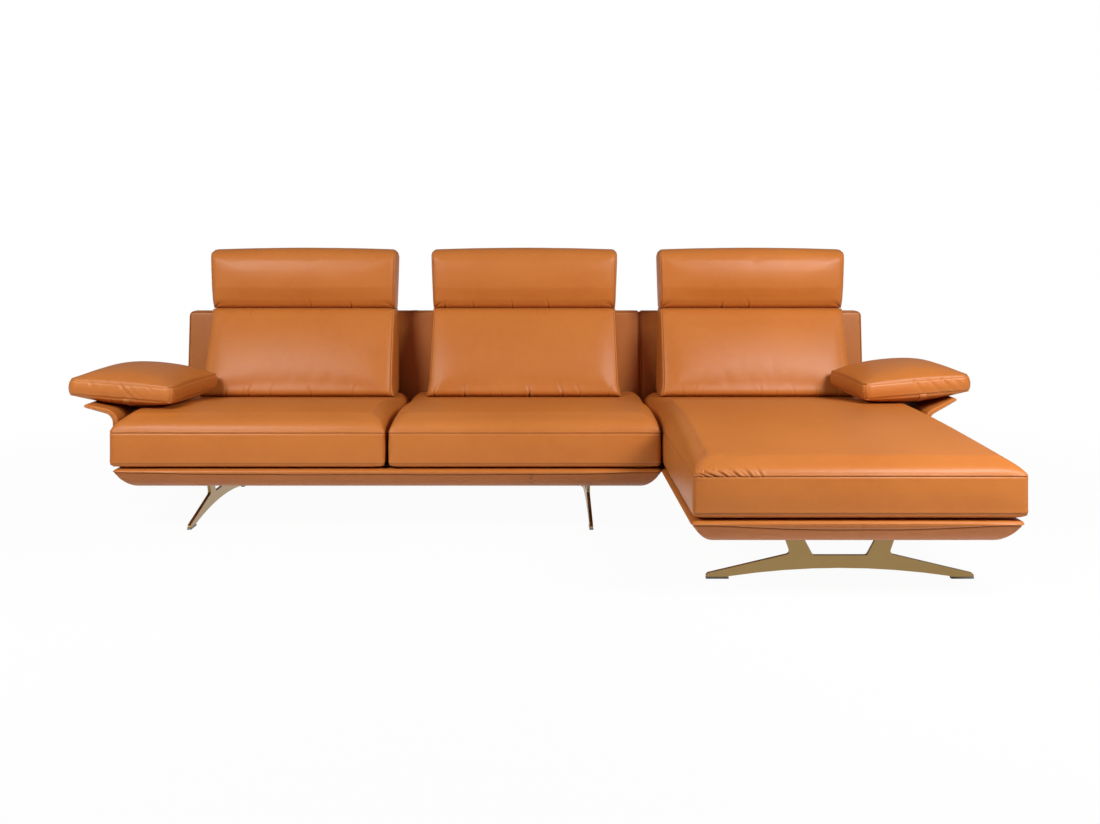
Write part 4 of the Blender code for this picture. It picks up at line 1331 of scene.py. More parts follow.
@dataclass
class BackCushion(Pad):
    """The wedge that leans on its frame: a bulging front panel, gussets at the sides."""

    foot_width: float = 0.766
    crease_width: float = 0.750
    foot_depth: float = 0.257
    top_depth: float = 0.100
    bulge: float = 0.016
    slack_bulge: float = 0.006
    edge: float = 0.026
    top_roll: float = 0.030
    ear: float = 0.007
    foot_roll: float = 0.012
    gathered: float = 1.0

    def spans(self) -> Triple:
        """The box is as deep as the wedge is on average."""
        return self.foot_width, (self.foot_depth + self.top_depth) / 2, self.size[2] * 1.08

    def fine_lines(self) -> list[Array]:
        """Lines closer together across the width, for the short gathers."""
        across, depth, height = self.spans()
        return [graded(across, 0.0036, FINE), graded(depth, 0.010, FINE), graded(height, self.step, FINE)]

    def depth_at(self, share: Array, slack: float) -> Array:
        """How far the front stands before the rear, from the top (0) to the foot (1)."""
        bulge = self.bulge - slack * self.slack_bulge
        return self.top_depth + (self.foot_depth - self.top_depth) * share + bulge * np.sin(math.pi * share)

    def form(self, lattice: BoxLattice, slack: float) -> Array:
        """A box with round front edges, deeper towards its foot and narrower towards its top.

        Args:
            lattice: the cover's mesh.
            slack: 1 before it is stuffed, 0 when it is full.

        Returns:
            The points' places.
        """
        half = lattice.span / 2
        block = lattice.share * half
        block = soften(block, half, (0, 1), (self.edge, self.edge), -1)
        block = soften(block, half, (2, 1), (self.top_roll, self.top_roll), -1)
        a, b, c = (block / half).T
        share = (1 - c) / 2
        width = self.crease_width + (self.foot_width - self.crease_width) * share
        middle = (self.low[0] + self.high[0]) / 2
        y = self.high[1] - self.depth_at(share, slack) * (1 - b) / 2
        z = self.low[2] + self.size[2] * (1 - share)
        ears = self.ear * bell(share - 1.0, 0.09) * bell(np.abs(a) - 1.0, 0.10) * (1 - b) / 2
        return np.stack([middle + a * width / 2 + np.sign(a) * ears, y - 0.6 * ears, z], axis=1)

    def held(self, lattice: BoxLattice) -> Array:
        """The rear, the foot and the top are held, and so is the seam round the front panel."""
        seam = lattice.on(Axis.DEPTH, -1) & (lattice.near[:, [0, 2]].min(axis=1) < TOUCH)
        return seam | lattice.on(Axis.DEPTH, 1) | lattice.on(Axis.HEIGHT, -1) | lattice.on(Axis.HEIGHT, 1)

    def from_foot(self, lattice: BoxLattice) -> Array:
        """Distance from the foot's front edge, up the front panel or back underneath; far elsewhere."""
        under = np.where(lattice.on(Axis.HEIGHT, -1), lattice.low[:, 1], FAR)
        return np.where(lattice.on(Axis.DEPTH, -1), lattice.low[:, 2], under)

    def caps(self, lattice: BoxLattice) -> Array:
        """The front swells most."""
        return np.where(lattice.on(Axis.DEPTH, -1), self.cap, self.side_cap)

    def sewing(self, lattice: BoxLattice) -> tuple[Array, Array, Array]:
        """Seams at the front panel's sides, gathers at its foot and at the crease, folds at the corners.

        Args:
            lattice: the cover's mesh.

        Returns:
            How far each point rises, how much painted shade darkens it, and how much rubbing and painted
            highlight lighten it.
        """
        front, along = lattice.on(Axis.DEPTH, -1), lattice.low[:, 0]
        sides = lattice.on(Axis.ACROSS, -1) | lattice.on(Axis.ACROSS, 1)
        edge = np.where(front, lattice.near[:, 0], np.where(sides, lattice.low[:, 1], FAR))
        rise = seam_rise(edge, depth=0.0016, roll=0.0010)
        beside = np.where(front, lattice.near[:, 0], FAR)
        over = np.where(lattice.on(Axis.HEIGHT, 1), lattice.low[:, 1], FAR)
        down = np.where(front, lattice.high[:, 2], over)
        deep = 0.0125 * self.gathered
        drawn = Gathers(
            spacing=0.080, depth=deep, length=0.025, width=0.0036, seed=self.seed, lean=0.45, jitter=0.80
        )
        foot = drawn.sink(along, np.maximum(self.from_foot(lattice) - self.foot_roll, 0.0))
        pleats = Gathers(
            spacing=0.110, depth=0.0060, length=0.014, width=0.0034, seed=self.seed + 1, lean=0.6
        )
        crease_folds = pleats.sink(along, down)
        corners = corner_fold(beside, down, slope_deg=38.0, depth=0.0046, length=0.034, width=0.0040)
        rise = rise - foot - crease_folds - corners
        # Painted shade in the seam grooves, gathers and corner folds; painted highlight on the rolls beside
        # the seams
        crease = 0.36 * bell(edge, 0.0015) + np.clip((foot + crease_folds + corners) * 75, 0.0, 0.34)
        wear = 0.30 * bell(edge - 0.006, 0.005)
        return rise, crease, wear


@dataclass
class Headrest(BackCushion):
    """The headrest above the crease: a round top, a full front and a tucked foot."""

    crease_depth: float = 0.100
    full_depth: float = 0.124
    tuck: float = 0.012
    top_width: float = 0.766
    top_round: tuple[float, float] = (0.060, 0.050)
    foot_round: float = 0.022
    stations: tuple[float, ...] = (0.0, 0.05, 0.14, 0.36, 0.64, 1.0)
    shoulder: float = 0.024
    top_crown: float = 0.008
    slack_front: float = 0.005

    def spans(self) -> Triple:
        """The cloth of the headrest's box."""
        return self.top_width, self.full_depth, self.size[2] * 1.05

    def form(self, lattice: BoxLattice, slack: float) -> Array:
        """A box with a round top, whose front draws back to the crease.

        Args:
            lattice: the cover's mesh.
            slack: 1 before it is stuffed, 0 when it is full.

        Returns:
            The points' places.
        """
        half = lattice.span / 2
        block = soften(lattice.share * half, half, (0, 2), (self.shoulder, self.shoulder), 1)
        block = soften(block, half, (0, 1), (self.edge, self.edge), -1)
        block = soften(block, half, (1, 2), self.top_round, 1)
        block = soften(block, half, (2, 1), (self.foot_round, self.foot_round), -1)
        a, b, c = (block / half).T
        share = (c + 1) / 2
        full = self.full_depth - slack * self.slack_front
        depth = np.interp(share, self.stations, self.depths(full))
        width = self.crease_width + (self.top_width - self.crease_width) * share
        middle = (self.low[0] + self.high[0]) / 2
        crown = self.top_crown * (1 - a * a) * np.clip(c, 0.0, 1.0) ** 2
        z = self.low[2] + (self.size[2] - self.top_crown) * share + crown
        return np.stack([middle + a * width / 2, self.high[1] - depth * (1 - b) / 2, z], axis=1)

    def depths(self, full: float) -> tuple[float, ...]:
        """Depths of the headrest at its stations, from its foot to its top."""
        foot = self.crease_depth - self.tuck
        return foot, self.crease_depth - self.tuck * 0.2, full - 0.010, full, full, full - 0.004

    def held(self, lattice: BoxLattice) -> Array:
        """The rear and the foot are held, and so is the seam at the sides of the front panel."""
        seam = lattice.on(Axis.DEPTH, -1) & (lattice.near[:, 0] < TOUCH)
        return seam | lattice.on(Axis.DEPTH, 1) | lattice.on(Axis.HEIGHT, -1)

    def caps(self, lattice: BoxLattice) -> Array:
        """The front swells most, the top a little."""
        front = self.cap * (0.4 + 0.6 * lattice.near[:, 2] / 0.13)
        return np.where(lattice.on(Axis.DEPTH, -1), front, self.side_cap)

    def sewing(self, lattice: BoxLattice) -> tuple[Array, Array, Array]:
        """Seams at the sides of the front and the top, gathers along the crease, folds at the corners.

        Args:
            lattice: the cover's mesh.

        Returns:
            How far each point rises, and how dark and how rubbed it is.
        """
        front, top = lattice.on(Axis.DEPTH, -1), lattice.on(Axis.HEIGHT, 1)
        sides = lattice.on(Axis.ACROSS, -1) | lattice.on(Axis.ACROSS, 1)
        gusset = np.minimum(lattice.low[:, 1], lattice.high[:, 2])
        edge = np.where(front | top, lattice.near[:, 0], np.where(sides, gusset, FAR))
        rise = seam_rise(edge, depth=0.0016, roll=0.0010)
        beside, up = np.where(front, lattice.near[:, 0], FAR), self.from_foot(lattice)
        drawn = Gathers(
            spacing=0.110, depth=0.0090, length=0.017, width=0.0034, seed=self.seed, lean=0.70, jitter=0.80
        )
        foot = drawn.sink(lattice.low[:, 0], np.maximum(up - self.foot_roll, 0.0))
        corners = corner_fold(beside, up, slope_deg=34.0, depth=0.0075, length=0.040, width=0.0044)
        rise = rise - foot - corners
        # Painted shade in the seam grooves and folds; painted highlight beside the seams and over the whole
        # top, where light falls from above
        crease = 0.34 * bell(edge, 0.0015) + np.clip((foot + corners) * 75, 0.0, 0.34)
        wear = 0.30 * bell(edge - 0.006, 0.005) + 0.05 * np.where(top, 1.0, 0.0)
        return rise, crease, wear


@dataclass
class ArmPillow(Pad):
    """The loose boxed pillow on an arm, tilted outer end up."""

    stitch_inset: int = 3
    wing: "ArmWing | None" = None
    tilt_deg: float = 4.0
    turn_deg: float = 0.0
    width: float = 0.386
    length: float = 0.465
    boxing: float = 0.050
    crown: float = 0.056
    belly: float = 0.036
    sag: float = 0.010
    fullness: float = 0.5
    draw_in: float = 0.005
    corner: float = 0.030
    slack_crown: float = 0.009
    boxing_bulge: float = 0.006
    folds: tuple[Fold, ...] = ()
    tab_at: float = 0.0
    tab_width: float = 0.028
    tab_reach: float = 0.060

    def spans(self) -> Triple:
        """Width, length and boxing of the pillow's cloth."""
        return self.width, self.length, self.boxing

    def fine_lines(self) -> list[Array]:
        """Lines close to the seams."""
        lines = [graded(span, self.step, FINE) for span in (self.width, self.length)]
        return [*lines, graded(self.boxing, 0.006, FINE[:7])]

    def local(self, lattice: BoxLattice, slack: float) -> Array:
        """The pillow round its own middle: panels rise by a power of the product of 1 - u² and 1 - v².

        Args:
            lattice: the cover's mesh.
            slack: 1 before it is stuffed, 0 when it is full.

        Returns:
            The points' places.
        """
        half = self.half
        block = soften(lattice.share * half, half, (0, 1), (self.corner, self.corner))
        u, v = block[:, 0] / half[0], block[:, 1] / half[1]
        arch = self.arch(u, v)
        x = u * (half[0] - self.draw_in * (1 - v**2))
        y = v * (half[1] - self.draw_in * (1 - u**2))
        top = lattice.on(Axis.HEIGHT, 1) * (self.crown - slack * self.slack_crown)
        under = lattice.on(Axis.HEIGHT, -1) * (self.belly + slack * self.sag)
        before_rear = lattice.share[:, 1] < 0.999
        bulge = slack * self.boxing_bulge * (1 - (block[:, 2] / half[2]) ** 2) * before_rear
        x = x * (1 + bulge * np.abs(u) ** 8 / half[0])
        y = y * (1 + bulge * np.abs(v) ** 8 / half[1])
        return np.stack([x, y, block[:, 2] + (top - under) * arch], axis=1)

    @property
    def half(self) -> Array:
        """Half the pillow's sizes at its seams."""
        return np.array([self.width, self.length, self.boxing]) / 2

    def arch(self, u: Array, v: Array) -> Array:
        """How far a panel has risen at shares u and v from its middle to its sides."""
        return np.clip((1 - u**2) * (1 - v**2), 0.0, 1.0) ** self.fullness

    @property
    def turns(self) -> tuple[float, float]:
        """Tilt about Y and turn about Z, in radians."""
        return -self.wing.sign * math.radians(self.tilt_deg), self.wing.sign * math.radians(self.turn_deg)

    def turned(self, points: Array) -> Array:
        """Tilts the pillow about Y and then turns it about Z.

        Args:
            points: places in the pillow's own frame.

        Returns:
            The turned places.
        """
        tilt, turn = self.turns
        x, y, z = points.T
        x, z = x * math.cos(tilt) + z * math.sin(tilt), z * math.cos(tilt) - x * math.sin(tilt)
        x, y = x * math.cos(turn) - y * math.sin(turn), x * math.sin(turn) + y * math.cos(turn)
        return np.stack([x, y, z], axis=1)

    def middle(self) -> Array:
        """Where the pillow's own middle lies, from the CAD pillow's box."""
        full = self.turned(self.local(BoxLattice(self.coarse_lines()), 0.0))
        return (self.low + self.high - full.min(axis=0) - full.max(axis=0)) / 2

    def form(self, lattice: BoxLattice, slack: float) -> Array:
        """The tilted pillow, set where the CAD's own pillow lies."""
        return self.turned(self.local(lattice, slack)) + self.middle()

    def underside(self, points: Array) -> Array:
        """The height of the sagging lower panel, and far up outside the pillow.

        Args:
            points: the places that it is over.

        Returns:
            A height for each point.
        """
        tilt, turn = self.turns
        dx, dy, _ = (points - self.middle()).T
        x, y = dx * math.cos(turn) + dy * math.sin(turn), dy * math.cos(turn) - dx * math.sin(turn)
        u, v = x / self.half[0], y / self.half[1]
        low = -self.half[2] - (self.belly + self.sag) * self.arch(u, v)
        inside = np.maximum(np.abs(u), np.abs(v)) < 1
        return np.where(inside, self.middle()[2] + low * math.cos(tilt) - x * math.sin(tilt), AWAY)

    def kept_clear(self, lattice: BoxLattice, points: Array) -> Array:
        """The lower panel lies on the wing's blade, and hangs free before its front edge.

        Args:
            lattice: the cover's mesh.
            points: the stuffed cover's places.

        Returns:
            The places that are kept.
        """
        made = points.copy()
        free = np.clip((self.wing.front - 0.004 - points[:, 1]) / 0.02, 0.0, 1.0)
        made[:, 2] = np.maximum(points[:, 2], self.wing.top_at(points[:, 0]) + 0.0006 - 0.03 * free)
        return made

    def held(self, lattice: BoxLattice) -> Array:
        """Both seams and the panel that lies on the arm are held."""
        rim = lattice.near[:, :2].min(axis=1) < TOUCH
        return (rim & lattice.on(Axis.HEIGHT, 1)) | lattice.on(Axis.HEIGHT, -1)

    def caps(self, lattice: BoxLattice) -> Array:
        """The top swells most."""
        return np.where(lattice.on(Axis.HEIGHT, 1), self.cap, self.side_cap)

    def sewing(self, lattice: BoxLattice) -> tuple[Array, Array, Array]:
        """Seams round both panels and at the corners, and folds across the boxing.

        Args:
            lattice: the cover's mesh.

        Returns:
            How far each point rises, how much painted shade darkens it, and how much rubbing and painted
            highlight lighten it.
        """
        inward = lattice.near[:, :2].min(axis=1)
        rim = np.minimum(lattice.high[:, 2], lattice.low[:, 2]) + inward
        sides = ~lattice.on(Axis.HEIGHT, 1) & ~lattice.on(Axis.HEIGHT, -1)
        upright = np.where(sides, lattice.near[:, 0] + lattice.near[:, 1], FAR)
        rise = seam_rise(rim, depth=0.0013, roll=0.0007) + seam_rise(upright, depth=0.0010, roll=0.0004)
        front = sides & lattice.on(Axis.DEPTH, -1)
        down = np.where(front, lattice.high[:, 2], FAR)
        sunk = np.zeros(len(rim))
        for fold in self.folds:
            sunk = sunk + fold.sink(lattice.low[:, 0], down)
        flank = Gathers(spacing=0.120, depth=0.0030, length=0.030, width=0.0055, seed=self.seed, lean=1.0)
        on_flank = np.where(sides & (lattice.near[:, 0] < TOUCH), lattice.high[:, 2], FAR)
        sunk = sunk + flank.sink(lattice.low[:, 1], on_flank)
        panel = Gathers(
            spacing=0.130, depth=0.0009, length=0.026, width=0.0070, seed=self.seed + 2, lean=0.7
        )
        on_top = np.where(lattice.on(Axis.HEIGHT, 1), lattice.near[:, 1], FAR)
        sunk = sunk + panel.sink(lattice.low[:, 0], on_top)
        # Painted shade in the seam grooves and folds; painted highlight along the boxing's edges
        crease = 0.22 * bell(rim, 0.0013) + 0.18 * bell(upright, 0.0013) + np.clip(sunk * 30, 0.0, 0.14)
        wear = np.where(sides, 0.5, 0.1) * bell(rim - 0.004, 0.003)
        return rise - sunk, crease, wear

    def stitch(self, lattice: BoxLattice, points: Array) -> None:
        """Lays the stitches and sews on the tab: a strap on the lower panel, from the front seam inwards.

        Args:
            lattice: the cover's mesh.
            points: the finished cover's places.
        """
        super().stitch(lattice, points)
        out = turned_out(points, lattice.quads)
        across, inward = lattice.lines[0], lattice.lines[1]
        columns = np.flatnonzero(np.abs(across - self.tab_at) < self.tab_width / 2 + 0.004)
        rows = np.flatnonzero(inward < self.tab_reach)
        grid = lattice.ids[columns[0] : columns[-1] + 1, : len(rows), 0]
        lift = 0.0024 - 0.0016 * np.linspace(-1.0, 1.0, grid.shape[0])[:, None, None] ** 6
        skin, sole = points[grid] + out[grid] * lift, points[grid] + out[grid] * 0.0003
        strap = np.stack([sole, skin], axis=2)
        ids = np.arange(strap[..., 0].size).reshape(strap.shape[:3])
        quads = np.concatenate([BoxLattice.grid_quads(face) for face in skin_grids(ids)])
        # Painted shade along the tab's edges, and a little painted highlight over the whole tab
        edge = np.abs(np.linspace(-1.0, 1.0, grid.shape[0]))[:, None, None] ** 6 * np.ones(strap.shape[:3])
        made = make_leather(f"tab_{self.node}", strap.reshape(-1, 3), quads, 0.5 * edge.ravel(), 0.2)
        carry(made, self.body, [])


# Firm upholstery: base trays, back shells, arm wings


def plan_ring(
    low: Array, high: Array, inset: float, radius: float, counts: tuple[int, int], arc: int
) -> Array:
    """A rectangle with round corners, anticlockwise from the front left: even points on sides and on arcs.

    Args:
        low: its left front corner.
        high: its right rear corner.
        inset: how far in it lies.
        radius: the corners' radius.
        counts: points on a side along X and on one along Y.
        arc: points on each corner.

    Returns:
        An array of n by 2.
    """
    x0, y0, x1, y1 = low[0] + inset, low[1] + inset, high[0] - inset, high[1] - inset
    r = radius
    parts = []
    centres = ((x1 - r, y0 + r), (x1 - r, y1 - r), (x0 + r, y1 - r), (x0 + r, y0 + r))
    starts = ((x0 + r, y0), (x1, y0 + r), (x1 - r, y1), (x0, y1 - r))
    ends = ((x1 - r, y0), (x1, y1 - r), (x0 + r, y1), (x0, y0 + r))
    for k, (cx, cy) in enumerate(centres):
        share = np.linspace(0.0, 1.0, counts[k % 2])[:, None]
        parts.append(np.array(starts[k]) * (1 - share) + np.array(ends[k]) * share)
        angles = np.radians(90.0 * (k - 1) + 90.0 * np.arange(1, arc + 1) / (arc + 1))
        parts.append(np.stack([cx + r * np.cos(angles), cy + r * np.sin(angles)], axis=1))
    return np.concatenate(parts)


@dataclass
class BaseTray:
    """The leather-covered tray of a module: a keel, a sewn lip, a soft rim and a hollow for the rails."""

    node: str
    join_x: float
    beside: int
    fullness: float = 0.0048
    keel_run: float = 0.075
    rim_rise: float = 0.0085
    lip_rise: float = 0.063
    floor: float = 0.015
    corner: float = 0.016
    rim: Triple = (0.025, 0.050, 0.080)
    seam_drop: float = 0.019
    sag_run: float = 0.30
    rim_points: int = 9
    arc_points: int = 7
    seed: int = 5

    def profile(self) -> tuple[Array, Array]:
        """Insets and heights of the section, from the tray's floor over the lip to the underside.

        The underside is a parabola: height grows with the square of the share of the run from its foot.

        Returns:
            The inset and the height of each row of points.
        """
        bottom = node_box(self.node)[0][2]
        lip = bottom + self.lip_rise
        share = np.concatenate([np.linspace(1.0, 0.76, 45)[1:], np.linspace(0.73, 0.0, 13)])
        over = np.radians(np.linspace(90.0, 0.0, self.rim_points))
        rim_in, rim_z = self.rim[0] * (1 - np.cos(over)), lip + self.rim_rise * np.sin(over)
        keel_in, keel_z = self.keel_run * (1 - share), bottom + self.lip_rise * share**2
        insets = np.concatenate([[self.rim[2], self.rim[1]], rim_in, keel_in])
        return insets, np.concatenate([[bottom + self.floor, lip + self.rim_rise], rim_z, keel_z])

    def seam_at(self, ring: Array, low: Array, high: Array) -> Array:
        """How far below the lip the seam runs: it leaves the lip at the front corners and sags in between.

        Args:
            ring: the lip's points in plan.
            low: the tray's lowest corner.
            high: its highest corner.

        Returns:
            The drop at each point.
        """
        corner = np.minimum(ring[:, 0] - low[0], high[0] - ring[:, 0])
        share = np.clip((corner - 0.02) / self.sag_run, 0.0, 1.0)
        sag = np.where(ring[:, 1] < low[1] + 0.05, share * share * (3 - 2 * share), 0.0)
        wave = 0.0007 * np.sin(ring[:, 0] * 13.0 + self.seed) + 0.0004 * np.sin(ring[:, 0] * 31.0)
        return self.seam_drop * (0.30 + 0.70 * sag) + wave

    def build(self) -> None:
        """Carries the section round the plan and closes it. It is full towards the other module."""
        low, high = node_box(self.node)
        low[0] += min(self.beside, 0) * self.fullness
        high[0] += max(self.beside, 0) * self.fullness
        counts = (max(8, round((high[0] - low[0]) / 0.010)), max(8, round((high[1] - low[1]) / 0.016)))
        insets, heights = self.profile()
        nudge, lip_row = 0.001, self.rim_points + 1
        shapes = []
        for inset in np.concatenate([insets, insets - nudge]):
            radius = max(self.corner - inset * 0.6, self.corner * 0.34)
            shapes.append(plan_ring(low, high, inset, radius, counts, self.arc_points))
        rings, outer = np.split(np.stack(shapes), 2)
        rows, count = rings.shape[:2]
        below = (low[2] + self.lip_rise - heights)[:, None]
        drop = self.seam_at(rings[lip_row], low, high)[None, :]
        outside = (np.arange(rows) >= lip_row)[:, None]
        from_seam = below - drop
        band = np.sin(math.pi * np.clip(below / drop, 0.0, 1.0))
        rise = 0.0030 * band - 0.0024 * bell(from_seam, 0.0011) + 0.0008 * bell(from_seam - 0.006, 0.004)
        join = bell(rings[..., 0] - self.join_x, 0.0022) * (rings[..., 1] < low[1] + 0.09) * outside
        rise = np.where(outside, rise, 0.0) - 0.0016 * join
        flat = rings + (outer - rings) * (rise / nudge)[..., None]
        points = np.concatenate([flat, np.broadcast_to(heights[:, None, None], (rows, count, 1))], axis=2)
        # Painted shade in the seam groove and in the join between modules; painted highlight on the lip just
        # above the seam
        crease = 0.90 * bell(from_seam, 0.0013) * outside + 0.75 * join
        wear = 0.45 * bell(from_seam + 0.0040, 0.0024) * outside
        faces = sleeve_faces(rows, count)
        piece = make_leather(
            f"leather_{self.node}", points.reshape(-1, 3), faces, crease.ravel(), wear.ravel()
        )
        carry(piece, ROOT_BODY, [self.node])


@dataclass
class BackShell:
    """The low panel behind the backrests: leather over a thin pad on both faces, welted edges."""

    node: str
    beside: int
    fullness: float = 0.0031
    lean: float = 0.045
    thickness: float = 0.060
    edge: float = 0.016
    corner: float = 0.024
    join_corner: float = 0.009
    joins: int = 0
    puff: float = 0.004
    seed: int = 3

    def build(self) -> None:
        """A box with round edges, sheared backwards; seams sink along the edges and at the joins."""
        low, high = node_box(self.node)
        size = np.array([high[0] - low[0], self.thickness, high[2] - low[2]])
        lattice = BoxLattice([graded(span, 0.012, FINE) for span in size])
        half = size / 2
        block = lattice.share * half
        block = soften(block, half, (2, 0), (self.corner, self.corner), -self.beside)
        block = soften(block, half, (2, 0), (self.join_corner, self.join_corner), self.beside)
        block = soften(block, half, (0, 1), (self.edge, self.edge))
        block = soften(block, half, (2, 1), (self.edge, self.edge))
        u, w = block[:, 0] / half[0], block[:, 2] / half[2]
        inside = np.clip((1 - u**2) * (1 - w**2), 0.0, 1.0) ** 0.5
        block[:, 1] += np.sign(lattice.share[:, 1]) * self.puff * (inside - 1) * (lattice.near[:, 1] < TOUCH)
        end_on = bell(u - self.beside, 0.02) * np.clip(16 * (1 - w**2), 0.0, 1.0)
        block[:, 0] += self.beside * self.fullness * end_on
        height = block[:, 2] + half[2]
        points = np.stack(
            [
                (low[0] + high[0]) / 2 + block[:, 0],
                low[1] + half[1] + block[:, 1] + self.lean * height / size[2],
                low[2] + height,
            ],
            axis=1,
        )
        faces_on = lattice.on(Axis.DEPTH, -1) | lattice.on(Axis.DEPTH, 1)
        edge = np.where(faces_on, lattice.near[:, [0, 2]].min(axis=1), lattice.near[:, 1])
        rise = seam_rise(edge, depth=0.0020, roll=0.0009)
        # Painted shade in the edge seams
        crease = 0.75 * bell(edge, 0.0020)
        for number in range(self.joins):
            place = size[0] * (number + 1) / (self.joins + 1)
            join = np.abs(lattice.low[:, 0] - place)
            rise = rise + seam_rise(join, depth=0.0014, roll=0.0008)
            # Painted shade in the join seam
            crease = crease + 0.6 * bell(join, 0.0030)
        down = np.where(faces_on, lattice.high[:, 2], FAR)
        slack = Gathers(spacing=0.110, depth=0.0016, length=0.050, width=0.0090, seed=self.seed, lean=0.6)
        folds = slack.sink(lattice.low[:, 0], down)
        points = points + turned_out(points, lattice.quads) * (rise - folds)[:, None]
        # Painted highlight on the welted edges
        wear = 0.5 * bell(edge - 0.008, 0.008)
        piece = make_leather(f"leather_{self.node}", points, lattice.quads, crease, wear)
        carry(piece, ROOT_BODY, [self.node])


@dataclass
class ArmWing:
    """The flared panel beside a seat: leather on a bent board, with a welt round its free edges."""

    node: str
    sign: int
    bend_deg: float
    thickness: float = 0.020
    tip_thickness: float = 0.012
    upright: float = 0.153
    bend_radius: float = 0.045
    blade: float = 0.090
    end_round: float = 0.0045
    tip_round: tuple[float, float] = (0.0060, 0.0050)
    groove_at: float = 0.0045
    welt: float = 0.0020
    cord_at: float = 0.0143

    def centre_line(self, run: Array) -> tuple[Array, Array, Array, Array]:
        """The board's middle line from its foot: straight up, an arc outwards, then a straight blade.

        Args:
            run: distances along the line.

        Returns:
            Outward place, height, turn from upright and half thickness.
        """
        bend = math.radians(self.bend_deg)
        arc = self.bend_radius * bend
        turn = np.clip((run - self.upright) / self.bend_radius, 0.0, bend)
        past = np.maximum(run - self.upright - arc, 0.0)
        out = self.bend_radius * (1 - np.cos(turn)) + past * math.sin(bend)
        height = np.minimum(run, self.upright) + self.bend_radius * np.sin(turn) + past * math.cos(bend)
        share = np.clip((run - self.upright) / (arc + self.blade), 0.0, 1.0)
        half = (self.thickness + (self.tip_thickness - self.thickness) * share) / 2
        return out, height, turn, half

    @property
    def front(self) -> float:
        """Where the wing's front edge lies along Y."""
        return float(node_box(self.node)[0][1])

    @property
    def length(self) -> float:
        """The board's length from its foot to its tip."""
        return self.upright + self.bend_radius * math.radians(self.bend_deg) + self.blade

    def top_at(self, x: Array) -> Array:
        """The height of the blade's upper face, and far down beside the blade.

        Args:
            x: places along X.

        Returns:
            The height at each of them.
        """
        low, high = node_box(self.node)
        inner = low[0] if self.sign > 0 else high[0]
        out, height, turn, half = self.centre_line(np.linspace(self.upright, self.length, 60))
        outward = self.sign * (x - inner) - self.thickness / 2
        upper_out, upper_z = out - half * np.cos(turn), low[2] + height + half * np.sin(turn)
        return np.interp(outward, upper_out, upper_z, -AWAY, -AWAY)

    def build(self) -> None:
        """Carries the board's section from front to rear, with round ends and a round tip."""
        low, high = node_box(self.node)
        total = self.length
        span = np.array([self.thickness, high[1] - low[1], total])
        lattice = BoxLattice(
            [np.linspace(0.0, span[0], 15), graded(span[1], 0.012, FINE), graded(span[2], 0.006, FINE[:7])]
        )
        half = span / 2
        block = lattice.share * half
        block = soften(block, half, (0, 1), (self.end_round, self.end_round))
        block = soften(block, half, (0, 2), self.tip_round, 1)
        out, height, turn, thick = self.centre_line(block[:, 2] + half[2])
        across = block[:, 0] / half[0] * thick
        inner = low[0] if self.sign > 0 else high[0]
        x = inner + self.sign * (self.thickness / 2 + out + across * np.cos(turn))
        z = low[2] + height - across * np.sin(turn)
        points = np.stack([x, (low[1] + high[1]) / 2 + block[:, 1], z], axis=1)
        skins = lattice.on(Axis.ACROSS, -1) | lattice.on(Axis.ACROSS, 1)
        edge = np.where(skins, np.minimum(lattice.near[:, 1], lattice.high[:, 2]), 0.0)
        rise = 0.0008 * bell(edge - 0.010, 0.006) - 0.0010 * bell(edge - self.groove_at, 0.0022)
        points = points + turned_out(points, lattice.quads) * np.where(skins, rise, 0.0)[:, None]
        # Painted shade in the skin's groove and beside the welt cord; painted highlight near the edges
        line = np.where(skins, 1.0, np.abs(np.abs(lattice.low[:, 0] - self.cord_at) - self.welt))
        crease = np.where(skins, 0.6 * bell(edge - self.groove_at, 0.0020), bell(line, 0.0020))
        wear = 0.4 * bell(edge - 0.001, 0.006) * skins
        piece = make_leather(f"leather_{self.node}", points, lattice.quads, crease, wear)
        carry(piece, ROOT_BODY, [self.node])
        grid = lattice.ids[int(np.argmin(np.abs(lattice.lines[0] - self.cord_at)))]
        path = np.concatenate([grid[0, :-1], grid[:-1, -1], grid[-1, ::-1]])
        out = turned_out(points, lattice.quads)
        # The welt cord is lightened with painted highlight
        cord = make_leather(
            f"welt_{self.node}", *tube(points[path], out[path], self.welt), crease=0.1, wear=0.8
        )
        carry(cord, ROOT_BODY, [])


@dataclass
class CreaseFold:
    """The folded leather between a back cushion and its headrest."""

    place: str
    depth: float = 0.080
    rear_gap: float = 0.006
    side_gap: float = 0.010
    taper: float = 0.007
    clear: float = 0.0003
    corner: float = 0.012
    layers: int = 12

    def build(self) -> None:
        """A slab that fills the crease, in even layers."""
        _, below_high = node_box(f"back_cushion_{self.place}")
        above_low, above_high = node_box(f"headrest_{self.place}")
        bottom, top = below_high[2] + self.clear, above_low[2] - self.clear
        left = above_low[0] + self.taper + self.side_gap
        right = above_high[0] - self.taper - self.side_gap
        rear = below_high[1] - self.rear_gap
        span = np.array([right - left, self.depth, top - bottom])
        lines = [graded(span[0], 0.014, FINE[:6]), graded(span[1], 0.008, FINE[:6])]
        lattice = BoxLattice([*lines, np.linspace(0.0, span[2], self.layers + 1)])
        block = soften(lattice.share * span / 2, span / 2, (0, 1), (self.corner, self.corner))
        points = block + np.array([(left + right) / 2, rear - self.depth / 2, (bottom + top) / 2])
        name = f"crease_fold_{self.place}"
        # Painted shade over the whole fold, which lies deep in the crease
        piece = make_leather(name, points, lattice.quads, crease=0.25, wear=0.0)
        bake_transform(piece)
        LOG.info("%s bends between %s and %s_headrest", piece.name, ROOT_BODY, self.place)


